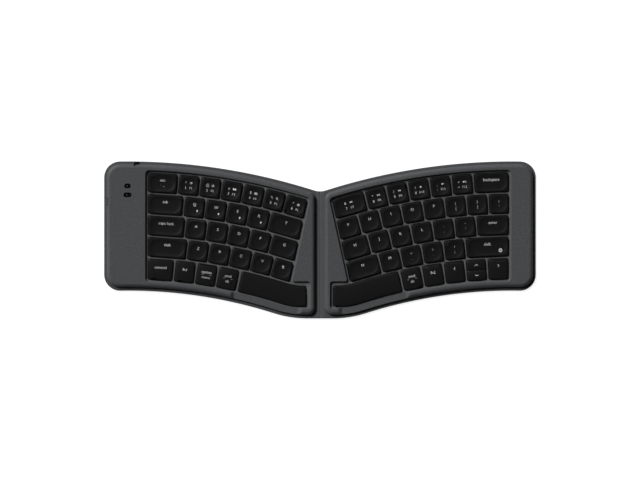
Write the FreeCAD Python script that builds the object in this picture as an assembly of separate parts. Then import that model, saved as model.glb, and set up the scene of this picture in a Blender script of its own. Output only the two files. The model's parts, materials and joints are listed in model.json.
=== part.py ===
import FreeCAD, Part
import math
import os
from FreeCAD import Vector

# A folding wireless keyboard: two slim key halves on one flexible cover whose bare
# middle strip is the fold. Every key row is an arc about one centre per half.
# The open keyboard lies flat, +X to the user's right, +Y to the back, +Z up,
# with the origin under the middle of its outline. All sizes are in millimetres.
# Shapes of a half are drawn for the right one and mirrored for the left one.

# Outline of the open keyboard
OPEN_WIDTH = 390.6
ROW_CENTRE_TO_EDGE = 21.3
ROW_CENTRE_Y = -484.0
BACK_EDGE_R = 555.05
FRONT_EDGE_R = 438.07
FRONT_FLARE_X = 11.67
FRONT_FLARE_R = 99.0
BACK_DIP_R = 17.1
COVER_CORNER_R = 14.5

# Fold: two lines, one each side of the middle strip
FOLD_LINE_X = 4.0
FOLD_CREASE_GAP = 0.1

# Heights of the layers, from the desk up
FOOT_H = 0.8
COVER_T = 1.0
BODY_H = 3.75
RECESS_DEPTH = 1.3
WEB_T = 0.8
PLATE_T = 0.3
MEMBRANE_T = 0.25

# Raised body of a half
COVER_LIP = 2.5
BODY_OUTER_CORNER_R = 12.0
BODY_FOLD_CORNER_R = 7.0
BODY_EDGE_R = 3.5

# Key rows
ROW_COUNT = 5
TOP_ROW_R = 535.9
ROW_PITCH = 19.4
FRONT_ROW_EXTRA = 1.3
PITCHES_TO_CENTRE = 8.244
WEB_WIDTH = 1.3
LEFT_PANEL_WIDTH = 36.45
RIGHT_PANEL_WIDTH = 21.5
INNER_LINE_X = 12.0
INNER_LINE_Y = 27.1
INNER_LINE_LEAN = 12.4
RECESS_MARGIN = 1.5
RECESS_FRONT_MARGIN = 0.2
RECESS_CORNER_R = 3.5

# Space bars bend from the row's arc to a straight inner end
SPACE_END_X = 11.3
SPACE_BACK_FLAT = 1.85
SPACE_FRONT_FLAT = 7.8
SPACE_FLARE_R = 54.0
SPACE_WELL_X = 9.5
SPACE_WELL_BACK_FLAT = 13.9
SPACE_WELL_FRONT_FLAT = 9.6
SPACE_WELL_CORNER_R = 2.5

# The rim drops to the webs in front of the space bars, for the thumbs
THUMB_INNER_X = 20.0
THUMB_OUTER_X = 78.0
THUMB_SLOPE = 3.0

# Keycaps
KEY_GAP = 0.45
KEYCAP_T = 1.1
KEY_BELOW_RIM = 0.3
KEY_CORNER = 1.2
KEY_BEVEL = 0.35
KEY_TRAVEL = 1.0
KEY_STOP_CLEARANCE = 0.1

# Scissor link and rubber dome under each key
LINK_LENGTH = 12.0
LINK_WIDTH = 10.5
LINK_BAR = 1.3
LINK_T = 0.6
DOME_R = 2.6
DOME_SIDES = 8

# Side panel of the left half: battery, board, charging socket, lights and switch
POCKET_ROOF_T = 0.8
POCKET_WALL_T = 3.0
POCKET_WIDTH = 27.8
POCKET_FRONT_Y = -30.0
POCKET_BACK_Y = 52.5
INNER_CLEARANCE = 0.3
BATTERY_LENGTH = 46.0
BATTERY_T = 2.4
BOARD_T = 0.8
BOARD_GAP = 1.5
SOCKET_WIDTH = 8.94
SOCKET_H = 3.16
SOCKET_LENGTH = 7.3
SOCKET_WALL = 0.3
SOCKET_SETBACK = 1.3
SOCKET_Y = 34.0
LENS_TO_EDGE = 19.0
LENS_SINK = 0.1
ROUND_LENS = (48.7, 5.9, 4.3)
LONG_LENS = (40.6, 7.3, 4.2)

# Power switch in a notch of the body's back edge: the depths are from the cover's edge
NOTCH_TO_EDGE = 28.7
NOTCH_WIDTH = 4.3
NOTCH_DEPTH = 4.6
NOTCH_INNER_DEPTH = 1.9
KNOB_WIDTH = 2.1
KNOB_H = 1.6
KNOB_RISE = 1.1
KNOB_STEM_WIDTH = 1.0
KNOB_STEM_H = 0.9
KNOB_TRAVEL = 1.6
KNOB_PLAY = 0.25
SWITCH_WALL = 1.5
SWITCH_BODY_LENGTH = 2.5

# Magnets that hold the folded keyboard shut, and feet: their places are a distance in
# from the body's outer side or out from the fold, and a height in the plan
MAGNET_LENGTH = 10.0
MAGNET_WIDTH = 4.0
MAGNET_T = 1.5
MAGNET_COVER_T = 0.6
MAGNET_TO_EDGE = 10.8
MAGNET_Y = (59.0, -36.0)
FOOT_LENGTH = 22.0
FOOT_WIDTH = 5.0
FOOT_CORNER = 1.5
OUTER_FOOT_TO_EDGE = 18.8
OUTER_FOOT_Y = (62.0, -38.0)
INNER_FOOT_PLACES = ((30.0, 40.0), (28.0, -61.0))

# Ribbon between the halves, inside the middle strip
RIBBON_WIDTH = 20.0
RIBBON_T = 0.2

# Places across the keyboard that follow from its width
BODY_OUTER_X = OPEN_WIDTH / 2 - COVER_LIP
BODY_INNER_X = FOLD_LINE_X + FOLD_CREASE_GAP
ROW_CENTRE_X = OPEN_WIDTH / 2 - ROW_CENTRE_TO_EDGE
LEFT_FIELD_X = BODY_OUTER_X - LEFT_PANEL_WIDTH
RIGHT_FIELD_X = BODY_OUTER_X - RIGHT_PANEL_WIDTH
KEY_PITCH = (ROW_CENTRE_X - INNER_LINE_X) / PITCHES_TO_CENTRE
POCKET_OUTER_X = BODY_OUTER_X - POCKET_WALL_T
POCKET_INNER_X = POCKET_OUTER_X - POCKET_WIDTH
LENS_X = BODY_OUTER_X - LENS_TO_EDGE
NOTCH_INNER_X = BODY_OUTER_X - NOTCH_TO_EDGE
MAGNET_PLACES = [(BODY_OUTER_X - MAGNET_TO_EDGE, y) for y in MAGNET_Y]
OUTER_FOOT_PLACES = [(BODY_OUTER_X - OUTER_FOOT_TO_EDGE, y) for y in OUTER_FOOT_Y]

# Heights and radii that follow from the sizes above
COVER_Z = FOOT_H
BASE_Z = COVER_Z + COVER_T
RIM_Z = BASE_Z + BODY_H
WEB_Z = RIM_Z - RECESS_DEPTH
CAVITY_Z = WEB_Z - WEB_T
MEMBRANE_Z = BASE_Z + PLATE_T
MEMBRANE_TOP_Z = MEMBRANE_Z + MEMBRANE_T
KEY_TOP_Z = RIM_Z - KEY_BELOW_RIM
KEY_BOTTOM_Z = KEY_TOP_Z - KEYCAP_T
PRESSED_Z = KEY_BOTTOM_Z - KEY_TRAVEL
DOME_H = PRESSED_Z - KEY_STOP_CLEARANCE - MEMBRANE_TOP_Z
BOTTOM_ROW_R = TOP_ROW_R - (ROW_COUNT - 1) * ROW_PITCH
FIELD_BACK_R = TOP_ROW_R + ROW_PITCH / 2
FIELD_FRONT_R = BOTTOM_ROW_R - ROW_PITCH / 2 - FRONT_ROW_EXTRA
SHELL_TOP_Z = RIM_Z - POCKET_ROOF_T
BIG = 600.0

# Each row from the outer edge to the fold: where its first full key starts, in key
# pitches along the arc, the wide outer key, the full keys and the key at the fold
LEFT_ROWS = (
    (2.346, "key_esc", ["keys_numbers_left"] * 5, "keys_numbers_left"),
    (2.601, "key_tab", ["keys_upper_letters_left"] * 4, "keys_upper_letters_left"),
    (2.677, "key_caps_lock", ["key_a", "key_s", "key_d", "key_f"], "key_g"),
    (2.768, "key_shift_left", ["keys_lower_letters_left"] * 4, "keys_lower_letters_left"),
    (2.163, "key_control", ["key_fn1", "key_option", "key_alt_left"], "key_space_left"),
)
RIGHT_ROWS = (
    (1.786, "key_backspace", ["keys_numbers_right"] * 5, "keys_numbers_right"),
    (1.089, "key_backslash", ["keys_upper_letters_right"] * 6, "keys_upper_letters_right"),
    (1.644, "key_enter", ["key_quote", "key_semicolon", "key_l", "key_k", "key_j"], "key_h"),
    (2.142, "key_shift_right", ["keys_lower_letters_right"] * 4, "keys_lower_letters_right"),
    (1.135, "key_arrow_right", ["arrow_pair", "key_arrow_left", "key_fn2", "key_alt_right"],
     "key_space_right"),
)


# Plane geometry in a half's own drawing, x away from the fold


def arc_point(radius, angle):
    x = ROW_CENTRE_X - radius * math.sin(angle)
    y = ROW_CENTRE_Y + radius * math.cos(angle)
    return Vector(x, y, 0)


def outward(angle):
    return Vector(-math.sin(angle), math.cos(angle), 0)


def towards_fold(angle):
    return Vector(-math.cos(angle), -math.sin(angle), 0)


def y_on_arc(radius, x):
    return ROW_CENTRE_Y + math.sqrt(radius**2 - (ROW_CENTRE_X - x) ** 2)


def cross_point(point_a, direction_a, point_b, direction_b):
    """Where two lines of the drawing cross."""
    turn = direction_a.x * direction_b.y - direction_a.y * direction_b.x
    between = point_b - point_a
    along = (between.x * direction_b.y - between.y * direction_b.x) / turn
    return point_a + direction_a * along


def angle_on_line(radius, point, direction):
    """Angle at which a line crosses a row's arc, at the crossing further back."""
    start = point - Vector(ROW_CENTRE_X, ROW_CENTRE_Y, 0)
    half_b = start.dot(direction)
    along = -half_b + math.sqrt(half_b**2 - start.dot(start) + radius**2)
    crossing = start + direction * along
    return math.atan2(-crossing.x, crossing.y)


def prism(edges, bottom, top):
    face = Part.Face(Part.Wire(edges))
    return face.translated(Vector(0, 0, bottom)).extrude(Vector(0, 0, top - bottom))


def polygon_prism(points, bottom, top):
    wire = Part.makePolygon(points + [points[0]])
    return prism(wire.Edges, bottom, top)


def block(x0, x1, y0, y1, z0, z1):
    return Part.makeBox(x1 - x0, y1 - y0, z1 - z0, Vector(x0, y0, z0))


def disc(x, y, radius, bottom, top):
    return Part.makeCylinder(radius, top - bottom, Vector(x, y, bottom))


def row_disc(radius, bottom, top):
    return disc(ROW_CENTRE_X, ROW_CENTRE_Y, radius, bottom, top)


def is_upright_corner(solid, edge):
    """True for an edge that runs straight up between two faces that meet at a corner."""
    start, end = edge.Vertexes[0].Point, edge.Vertexes[-1].Point
    if abs(start.x - end.x) + abs(start.y - end.y) > 1e-6 or abs(start.z - end.z) < 1e-6:
        return False
    normals = []
    for face in solid.ancestorsOfType(edge, Part.Face):
        normals.append(face.normalAt(*face.Surface.parameter(start)))
    return normals[0].dot(normals[-1]) < math.cos(math.radians(10))


def upright_corners(solid):
    return [edge for edge in solid.Edges if is_upright_corner(solid, edge)]


def round_upright_edges(solid, radius, chosen):
    """Rounds the upright corners at the places that chosen accepts."""
    edges = [edge for edge in upright_corners(solid) if chosen(edge.Vertexes[0].Point)]
    return solid.makeFillet(radius, edges)


def level_edges(solid, z):
    return [edge for edge in solid.Edges
            if abs(edge.BoundBox.ZMin - z) < 0.01 and abs(edge.BoundBox.ZMax - z) < 0.01]


def bevelled(solid, corner_size, bevel, top_z):
    """A flat piece with its upright corners and its upper edges taken off."""
    solid = solid.makeChamfer(corner_size, upright_corners(solid))
    return solid.makeChamfer(bevel, level_edges(solid, top_z))


def rounded_rim(solid, radius, top_z):
    """Rounds the upper rim with three bevels that all touch the same circle."""
    wide = math.tan(math.radians(22.5))
    narrow = math.tan(math.radians(11.25))
    first = radius * (1 - wide)
    second = radius * (wide - narrow)
    solid = solid.makeChamfer(first, level_edges(solid, top_z))
    corners = level_edges(solid, top_z) + level_edges(solid, top_z - first)
    return solid.makeChamfer(second, corners)


def flare_places(arc_r, flat_x, flare_r):
    """An arc about the row centre runs into a flat line near the fold through a flare.
    Gives where the flat line ends, at flat_x, a point half way round the flare, and
    where the flare meets the arc."""
    turn = math.asin((ROW_CENTRE_X - flat_x) / (arc_r + flare_r))
    centre = arc_point(arc_r + flare_r, turn)
    middle = centre + Vector(math.sin(turn / 2), -math.cos(turn / 2), 0) * flare_r
    return centre - Vector(0, flare_r, 0), middle, arc_point(arc_r, turn)


# Outline of the cover and of the raised bodies


def half_outline(inset, inner_x, dip_r):
    """Edges of a half, moved in from the cover's edge; dip_r rounds the back at the fold."""
    front_r = FRONT_EDGE_R + inset
    back_r = BACK_EDGE_R - inset
    outer_x = OPEN_WIDTH / 2 - inset
    flat_end, flare_middle, flare_end = flare_places(
        front_r, FRONT_FLARE_X, FRONT_FLARE_R - inset)
    front_corner = Vector(outer_x, y_on_arc(front_r, outer_x), 0)
    back_corner = Vector(outer_x, y_on_arc(back_r, outer_x), 0)
    front_middle_x = (flare_end.x + outer_x) / 2
    front_middle = Vector(front_middle_x, y_on_arc(front_r, front_middle_x), 0)
    start = Vector(inner_x, flat_end.y, 0)
    edges = [
        Part.LineSegment(start, flat_end).toShape(),
        Part.Arc(flat_end, flare_middle, flare_end).toShape(),
        Part.Arc(flare_end, front_middle, front_corner).toShape(),
        Part.LineSegment(front_corner, back_corner).toShape(),
    ]
    if dip_r:
        dip_y, back_end = dip_places(dip_r)
        dip_middle_x = (back_end.x + inner_x) / 2
        dip_middle = Vector(dip_middle_x, dip_y - math.sqrt(dip_r**2 - dip_middle_x**2), 0)
        end = Vector(inner_x, dip_y - math.sqrt(dip_r**2 - inner_x**2), 0)
    else:
        back_end = Vector(inner_x, y_on_arc(back_r, inner_x), 0)
        end = back_end
    back_middle_x = (back_end.x + outer_x) / 2
    back_middle = Vector(back_middle_x, y_on_arc(back_r, back_middle_x), 0)
    edges.append(Part.Arc(back_corner, back_middle, back_end).toShape())
    if dip_r:
        edges.append(Part.Arc(back_end, dip_middle, end).toShape())
    edges.append(Part.LineSegment(end, start).toShape())
    return edges


def dip_places(dip_r):
    """Height of the dip's centre, and where the dip meets the back edge."""
    reach = BACK_EDGE_R + dip_r
    dip_y = ROW_CENTRE_Y + math.sqrt(reach**2 - ROW_CENTRE_X**2)
    return dip_y, arc_point(BACK_EDGE_R, math.asin(ROW_CENTRE_X / reach))


def front_middle_y():
    flat_end, _, _ = flare_places(FRONT_EDGE_R, FRONT_FLARE_X, FRONT_FLARE_R)
    return flat_end.y


def cover_half():
    sheet = prism(half_outline(0, FOLD_LINE_X, BACK_DIP_R), COVER_Z, BASE_Z)
    outer_x = OPEN_WIDTH / 2
    return round_upright_edges(sheet, COVER_CORNER_R, lambda p: p.x > outer_x - 0.01)


def cover_spine():
    dip_y, _ = dip_places(BACK_DIP_R)
    side_y = dip_y - math.sqrt(BACK_DIP_R**2 - FOLD_LINE_X**2)
    front_left = Vector(-FOLD_LINE_X, front_middle_y(), 0)
    front_right = Vector(FOLD_LINE_X, front_middle_y(), 0)
    back_left = Vector(-FOLD_LINE_X, side_y, 0)
    back_right = Vector(FOLD_LINE_X, side_y, 0)
    edges = [
        Part.LineSegment(front_left, front_right).toShape(),
        Part.LineSegment(front_right, back_right).toShape(),
        Part.Arc(back_right, Vector(0, dip_y - BACK_DIP_R, 0), back_left).toShape(),
        Part.LineSegment(back_left, front_left).toShape(),
    ]
    return prism(edges, COVER_Z, BASE_Z).cut(ribbon())


def ribbon():
    middle_z = COVER_Z + COVER_T / 2
    return block(-FOLD_LINE_X, FOLD_LINE_X, -RIBBON_WIDTH / 2, RIBBON_WIDTH / 2,
                 middle_z - RIBBON_T / 2, middle_z + RIBBON_T / 2)


def body_blank():
    """The raised body of a half before anything is cut out of it."""
    blank = prism(half_outline(COVER_LIP, BODY_INNER_X, None), BASE_Z, RIM_Z)
    blank = round_upright_edges(blank, BODY_OUTER_CORNER_R, lambda p: p.x > BODY_OUTER_X - 0.01)
    blank = round_upright_edges(blank, BODY_FOLD_CORNER_R, lambda p: p.x < BODY_INNER_X + 0.01)
    return rounded_rim(blank, BODY_EDGE_R, RIM_Z)


# Key field


def inner_line(grow):
    """The leaning line at which the rows end beside the fold, as a point and direction."""
    lean = math.radians(INNER_LINE_LEAN)
    direction = Vector(-math.sin(lean), math.cos(lean), 0)
    point = Vector(INNER_LINE_X, INNER_LINE_Y, 0) - Vector(direction.y, -direction.x, 0) * grow
    return point, direction


def space_outline(outer, inner_x, back_flat_x, front_flat_x, grow):
    """Edges of a space bar's place; outer is the line that ends it away from the fold,
    and its flat inner end reaches from inner_x to the flat places."""
    back_r = BOTTOM_ROW_R + ROW_PITCH / 2 + grow
    front_r = FIELD_FRONT_R - grow
    end_x = inner_x - grow
    point, direction = outer
    back_flat, back_middle, back_arc = flare_places(
        back_r, back_flat_x, SPACE_FLARE_R - grow)
    front_flat, front_middle, front_arc = flare_places(
        front_r, front_flat_x, SPACE_FLARE_R + grow)
    angle = angle_on_line(back_r, point, direction)
    back_end = arc_point(back_r, angle)
    back_halfway = arc_point(back_r, (angle + angle_of(back_arc)) / 2)
    angle = angle_on_line(front_r, point, direction)
    front_end = arc_point(front_r, angle)
    front_halfway = arc_point(front_r, (angle + angle_of(front_arc)) / 2)
    back_inner = Vector(end_x, back_flat.y, 0)
    front_inner = Vector(end_x, front_flat.y, 0)
    return [
        Part.LineSegment(front_inner, front_flat).toShape(),
        Part.Arc(front_flat, front_middle, front_arc).toShape(),
        Part.Arc(front_arc, front_halfway, front_end).toShape(),
        Part.LineSegment(front_end, back_end).toShape(),
        Part.Arc(back_end, back_halfway, back_arc).toShape(),
        Part.Arc(back_arc, back_middle, back_flat).toShape(),
        Part.LineSegment(back_flat, back_inner).toShape(),
        Part.LineSegment(back_inner, front_inner).toShape(),
    ]


def angle_of(point):
    return math.atan2(ROW_CENTRE_X - point.x, point.y - ROW_CENTRE_Y)


def side_line(radius, along, lean, shift):
    """A key's side, at a length along its row's arc, moved by shift towards the fold."""
    angle = along / radius
    return arc_point(radius, angle) + towards_fold(lean) * shift, outward(lean)


def row_reach(row_r):
    """Radii of a row's front and back; the keys of the front row are longer."""
    front_r = FIELD_FRONT_R if row_r == BOTTOM_ROW_R else row_r - ROW_PITCH / 2
    return front_r, row_r + ROW_PITCH / 2


def key_corners(row_r, outer, inner, inset, part):
    """Corners of a key between two side lines. part says which share of the key's
    height it takes, from the front, as two numbers from 0 to 1."""
    outer_angle = angle_on_line(row_r, *outer)
    inner_angle = angle_on_line(row_r, *inner)
    middle = (outer_angle + inner_angle) / 2
    row_front, row_back = row_reach(row_r)
    window_front = row_front + WEB_WIDTH / 2
    height = row_back - row_front - WEB_WIDTH
    front_r = window_front + part[0] * height + inset
    back_r = window_front + part[1] * height - inset
    front = arc_point(front_r, middle)
    back = arc_point(back_r, middle)
    along = towards_fold(middle)
    return [
        cross_point(front, along, *outer),
        cross_point(front, along, *inner),
        cross_point(back, along, *inner),
        cross_point(back, along, *outer),
    ]


def row_cells(rows, field_x):
    """Every key of a half as its node, row radius and a function from an inset to its
    two side lines. The inset is counted from the middle of the webs."""
    cells = []
    for index, (first, outer_key, full_keys, inner_key) in enumerate(rows):
        radius = TOP_ROW_R - index * ROW_PITCH
        start = first * KEY_PITCH
        end = start + len(full_keys) * KEY_PITCH

        def outer_sides(inset, radius=radius, start=start):
            edge = Vector(field_x - inset, 0, 0), Vector(0, 1, 0)
            return edge, side_line(radius, start, start / radius, -inset)

        cells.append((outer_key, radius, outer_sides))
        for place, node in enumerate(full_keys):
            along = start + place * KEY_PITCH

            def sides(inset, radius=radius, along=along):
                lean = (along + KEY_PITCH / 2) / radius
                outer = side_line(radius, along, lean, inset)
                return outer, side_line(radius, along + KEY_PITCH, lean, -inset)

            cells.append((node, radius, sides))

        def inner_sides(inset, radius=radius, end=end):
            return side_line(radius, end, end / radius, inset), inner_line(-inset)

        cells.append((inner_key, radius, inner_sides))
    return cells


def key_prism(cell, gap, bottom, top, part=(0, 1)):
    """A key's window when gap is 0, or its cap when gap is the play around it."""
    node, radius, sides = cell
    inset = WEB_WIDTH / 2 + gap
    if node.startswith("key_space"):
        edges = space_outline(sides(inset)[0], SPACE_END_X, SPACE_END_X + SPACE_BACK_FLAT,
                              SPACE_END_X + SPACE_FRONT_FLAT, -inset)
        return prism(edges, bottom, top)
    outer, inner = sides(inset)
    return polygon_prism(key_corners(radius, outer, inner, gap, part), bottom, top)


def key_well(field_x, grow, bottom, top):
    """The space of the whole key field, larger by grow all round, with sharp corners."""
    back_r = FIELD_BACK_R + RECESS_MARGIN + grow
    front_r = FIELD_FRONT_R - RECESS_FRONT_MARGIN - grow
    side_x = field_x + RECESS_MARGIN + grow
    point, direction = inner_line(RECESS_MARGIN + grow)
    ring = row_disc(back_r, bottom, top).cut(row_disc(front_r, bottom, top))
    limits = [
        point - direction * BIG,
        Vector(side_x, -BIG, 0),
        Vector(side_x, BIG, 0),
        point + direction * BIG,
    ]
    field = ring.common(polygon_prism(limits, bottom, top))
    back_flat_x = SPACE_WELL_X + SPACE_WELL_BACK_FLAT
    front_flat_x = SPACE_WELL_X + SPACE_WELL_FRONT_FLAT
    outer = Vector(back_flat_x + SPACE_FLARE_R / 2, 0, 0), Vector(0, 1, 0)
    space = prism(space_outline(outer, SPACE_WELL_X, back_flat_x, front_flat_x,
                                grow + RECESS_FRONT_MARGIN), bottom, top)
    return field.fuse(space).removeSplitter()


def recess(field_x):
    """The sunk field that the keys stand in."""
    well = key_well(field_x, 0, WEB_Z, RIM_Z + 1)
    well = round_upright_edges(well, RECESS_CORNER_R, lambda p: p.y > 0 or p.x > field_x)
    return round_upright_edges(well, SPACE_WELL_CORNER_R, lambda p: p.x < SPACE_WELL_X + 1)


def thumb_cut(field_x):
    """The space in front of a space bar where the rim drops to the height of the webs."""
    front_r = FIELD_FRONT_R - RECESS_FRONT_MARGIN
    back_y = y_on_arc(front_r, THUMB_OUTER_X) + RECESS_FRONT_MARGIN
    slope = THUMB_SLOPE * (BODY_H / RECESS_DEPTH)
    profile = [
        Vector(THUMB_INNER_X, 0, WEB_Z),
        Vector(THUMB_OUTER_X, 0, WEB_Z),
        Vector(THUMB_OUTER_X + slope, 0, WEB_Z + BODY_H),
        Vector(THUMB_INNER_X - slope, 0, WEB_Z + BODY_H),
    ]
    face = Part.Face(Part.makePolygon(profile + [profile[0]]))
    front_y = front_middle_y()
    return face.translated(Vector(0, front_y, 0)).extrude(Vector(0, back_y - front_y, 0))


# Shells, plates and membranes


def upper_shell(rows, field_x):
    """Rim and webs of a half, moulded in one, open below."""
    shell = body_blank().cut(recess(field_x))
    shell = shell.cut(thumb_cut(field_x))
    shell = shell.cut(key_well(field_x, INNER_CLEARANCE, BASE_Z, CAVITY_Z))
    windows = [key_prism(cell, 0, BASE_Z, RIM_Z) for cell in row_cells(rows, field_x)]
    shell = shell.cut(Part.makeCompound(windows))
    return shell.cut([magnet_bar(place, BASE_Z) for place in MAGNET_PLACES])


def bar_at(place, length, width, bottom, top):
    x, y = place
    return block(x - length / 2, x + length / 2, y - width / 2, y + width / 2, bottom, top)


def magnet_bar(place, bottom):
    return bar_at(place, MAGNET_LENGTH, MAGNET_WIDTH, bottom, RIM_Z - MAGNET_COVER_T)


def magnets():
    bottom = RIM_Z - MAGNET_COVER_T - MAGNET_T
    return [magnet_bar(place, bottom) for place in MAGNET_PLACES]


def foot(place):
    pad = bar_at(place, FOOT_LENGTH, FOOT_WIDTH, 0, FOOT_H)
    return pad.makeChamfer(FOOT_CORNER, upright_corners(pad))


def feet():
    return [foot(place) for place in OUTER_FOOT_PLACES + list(INNER_FOOT_PLACES)]


# Keys and what is under them


def keycap(cell, part=(0, 1)):
    cap = key_prism(cell, KEY_GAP, KEY_BOTTOM_Z, KEY_TOP_Z, part)
    return bevelled(cap, KEY_CORNER, KEY_BEVEL, KEY_TOP_Z)


def key_nodes(rows, field_x):
    """The caps of a half, grouped by node."""
    nodes = {}
    for cell in row_cells(rows, field_x):
        node = cell[0]
        if node == "arrow_pair":
            split = KEY_GAP / (ROW_PITCH + FRONT_ROW_EXTRA - WEB_WIDTH)
            nodes["key_arrow_up"] = [keycap(cell, (0.5 - split, 1))]
            nodes["key_arrow_down"] = [keycap(cell, (0, 0.5 + split))]
        else:
            nodes.setdefault(node, []).append(keycap(cell))
    return nodes


def key_middles(rows, field_x):
    """Middle and lean of each key, with two places under a space bar."""
    middles = []
    for node, radius, sides in row_cells(rows, field_x):
        outer, inner = sides(0)
        outer_angle = angle_on_line(radius, *outer)
        inner_angle = angle_on_line(radius, *inner)
        shares = (0.25, 0.75) if node.startswith("key_space") else (0.5,)
        for share in shares:
            angle = outer_angle + (inner_angle - outer_angle) * share
            middles.append((arc_point(sum(row_reach(radius)) / 2, angle), math.degrees(angle)))
    return middles


def at_key(shape, middle, lean):
    turned = shape.rotated(Vector(0, 0, 0), Vector(0, 0, 1), lean)
    return turned.translated(Vector(middle.x, middle.y, MEMBRANE_TOP_Z))


def scissor_link():
    """The frame of one key's scissor, lying down as it is when the key is pressed."""
    frame = block(-LINK_LENGTH / 2, LINK_LENGTH / 2, -LINK_WIDTH / 2, LINK_WIDTH / 2, 0, LINK_T)
    hole_x = LINK_LENGTH / 2 - LINK_BAR
    hole_y = LINK_WIDTH / 2 - LINK_BAR
    return frame.cut(block(-hole_x, hole_x, -hole_y, hole_y, 0, LINK_T))


def rubber_dome():
    """One dome with few sides, at its height under a pressed key."""
    turns = [2 * math.pi * side / DOME_SIDES for side in range(DOME_SIDES)]
    points = [Vector(DOME_R * math.cos(turn), DOME_R * math.sin(turn), 0) for turn in turns]
    return polygon_prism(points, 0, DOME_H)


# Side panel of the left half, drawn as on the right and mirrored with its half


def panel_pocket():
    main = block(POCKET_INNER_X, POCKET_OUTER_X, POCKET_FRONT_Y, POCKET_BACK_Y,
                 BASE_Z, SHELL_TOP_Z)
    wall_y = notch_floor_y() - SWITCH_WALL
    middle_x = NOTCH_INNER_X + NOTCH_WIDTH / 2
    tongue = block(POCKET_INNER_X, 2 * middle_x - POCKET_INNER_X, POCKET_BACK_Y, wall_y,
                   BASE_Z, SHELL_TOP_Z)
    return main.fuse(tongue)


def notch_floor_y():
    return y_on_arc(BACK_EDGE_R, NOTCH_INNER_X) - NOTCH_DEPTH


def notch_floor_at(x):
    """The notch's floor slants, so that a nail gets behind the knob."""
    share = (x - NOTCH_INNER_X) / NOTCH_WIDTH
    rise = NOTCH_DEPTH - NOTCH_INNER_DEPTH
    return notch_floor_y() + rise * (1 - share)


def slanted_prism(inner_x, outer_x, play, back_y, bottom, top):
    """A piece of the notch's space between two places, with some play to its floor."""
    points = [
        Vector(inner_x, notch_floor_at(inner_x) + play, 0),
        Vector(outer_x, notch_floor_at(outer_x) + play, 0),
        Vector(outer_x, back_y, 0),
        Vector(inner_x, back_y, 0),
    ]
    return polygon_prism(points, bottom, top)


def switch_notch():
    back_y = notch_floor_y() + 2 * NOTCH_DEPTH
    return slanted_prism(NOTCH_INNER_X, NOTCH_INNER_X + NOTCH_WIDTH, 0, back_y, BASE_Z, RIM_Z)


def knob_span():
    """Where the knob rests in its notch, from its inner side to its outer side."""
    inner_x = NOTCH_INNER_X + KNOB_PLAY
    return inner_x, inner_x + KNOB_WIDTH


def stem_slot():
    """The slot in the wall behind the notch, as long as the stem's travel."""
    inner_x, outer_x = knob_span()
    middle_x = (inner_x + outer_x) / 2
    half = KNOB_STEM_WIDTH / 2 + KNOB_PLAY
    middle_z = BASE_Z + KNOB_RISE + KNOB_H / 2
    tall = KNOB_STEM_H / 2 + KNOB_PLAY
    return block(middle_x - half, middle_x + half + KNOB_TRAVEL,
                 notch_floor_y() - SWITCH_WALL, notch_floor_at(NOTCH_INNER_X),
                 middle_z - tall, middle_z + tall)


def power_switch_knob():
    inner_x, outer_x = knob_span()
    middle_x = (inner_x + outer_x) / 2
    floor_y = notch_floor_y()
    low_z = BASE_Z + KNOB_RISE
    back_y = floor_y + NOTCH_DEPTH - KNOB_PLAY
    grip = slanted_prism(inner_x, outer_x, 2 * KNOB_PLAY, back_y, low_z, low_z + KNOB_H)
    middle_z = low_z + KNOB_H / 2
    stem = block(middle_x - KNOB_STEM_WIDTH / 2, middle_x + KNOB_STEM_WIDTH / 2,
                 floor_y - SWITCH_WALL - KNOB_PLAY, (notch_floor_at(middle_x) + back_y) / 2,
                 middle_z - KNOB_STEM_H / 2, middle_z + KNOB_STEM_H / 2)
    return grip.fuse(stem)


def lens_prism(place, bottom, top):
    """A window or lens with half-round ends, across the panel."""
    y, length, height = place
    radius = height / 2
    straight = length / 2 - radius
    ends = [disc(LENS_X - straight, y, radius, bottom, top),
            disc(LENS_X + straight, y, radius, bottom, top)]
    middle = block(LENS_X - straight, LENS_X + straight, y - radius, y + radius, bottom, top)
    return middle.fuse(ends).removeSplitter()


def socket_prism(inner_x, outer_x, grow):
    """A flat round-ended bar along x, the outside of a charging socket when grow is 0."""
    radius = SOCKET_H / 2 + grow
    straight = SOCKET_WIDTH / 2 + grow - radius
    middle_z = BASE_Z + SOCKET_H / 2
    bar = block(inner_x, outer_x, SOCKET_Y - straight, SOCKET_Y + straight,
                middle_z - radius, middle_z + radius)
    along = Vector(1, 0, 0)
    ends = [Part.makeCylinder(radius, outer_x - inner_x, Vector(inner_x, y, middle_z), along)
            for y in (SOCKET_Y - straight, SOCKET_Y + straight)]
    return bar.fuse(ends).removeSplitter()


def socket_reach():
    outer_x = BODY_OUTER_X - SOCKET_SETBACK
    return outer_x - SOCKET_LENGTH, outer_x


def usb_c_socket():
    """A metal sleeve with a closed back and the contact tongue inside."""
    inner_x, outer_x = socket_reach()
    sleeve = socket_prism(inner_x, outer_x, 0)
    mouth_x = inner_x + SOCKET_WALL
    sleeve = sleeve.cut(socket_prism(mouth_x, outer_x, -SOCKET_WALL))
    middle_z = BASE_Z + SOCKET_H / 2
    tongue_width = SOCKET_WIDTH - SOCKET_H
    tongue = block(inner_x, outer_x - SOCKET_WALL, SOCKET_Y - tongue_width / 2,
                   SOCKET_Y + tongue_width / 2, middle_z - SOCKET_WALL, middle_z + SOCKET_WALL)
    return sleeve.fuse(tongue)


def board_span():
    """Front and back of the board, behind the battery."""
    front_y = POCKET_FRONT_Y + INNER_CLEARANCE + BATTERY_LENGTH + BOARD_GAP
    return front_y, POCKET_BACK_Y - INNER_CLEARANCE


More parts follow.
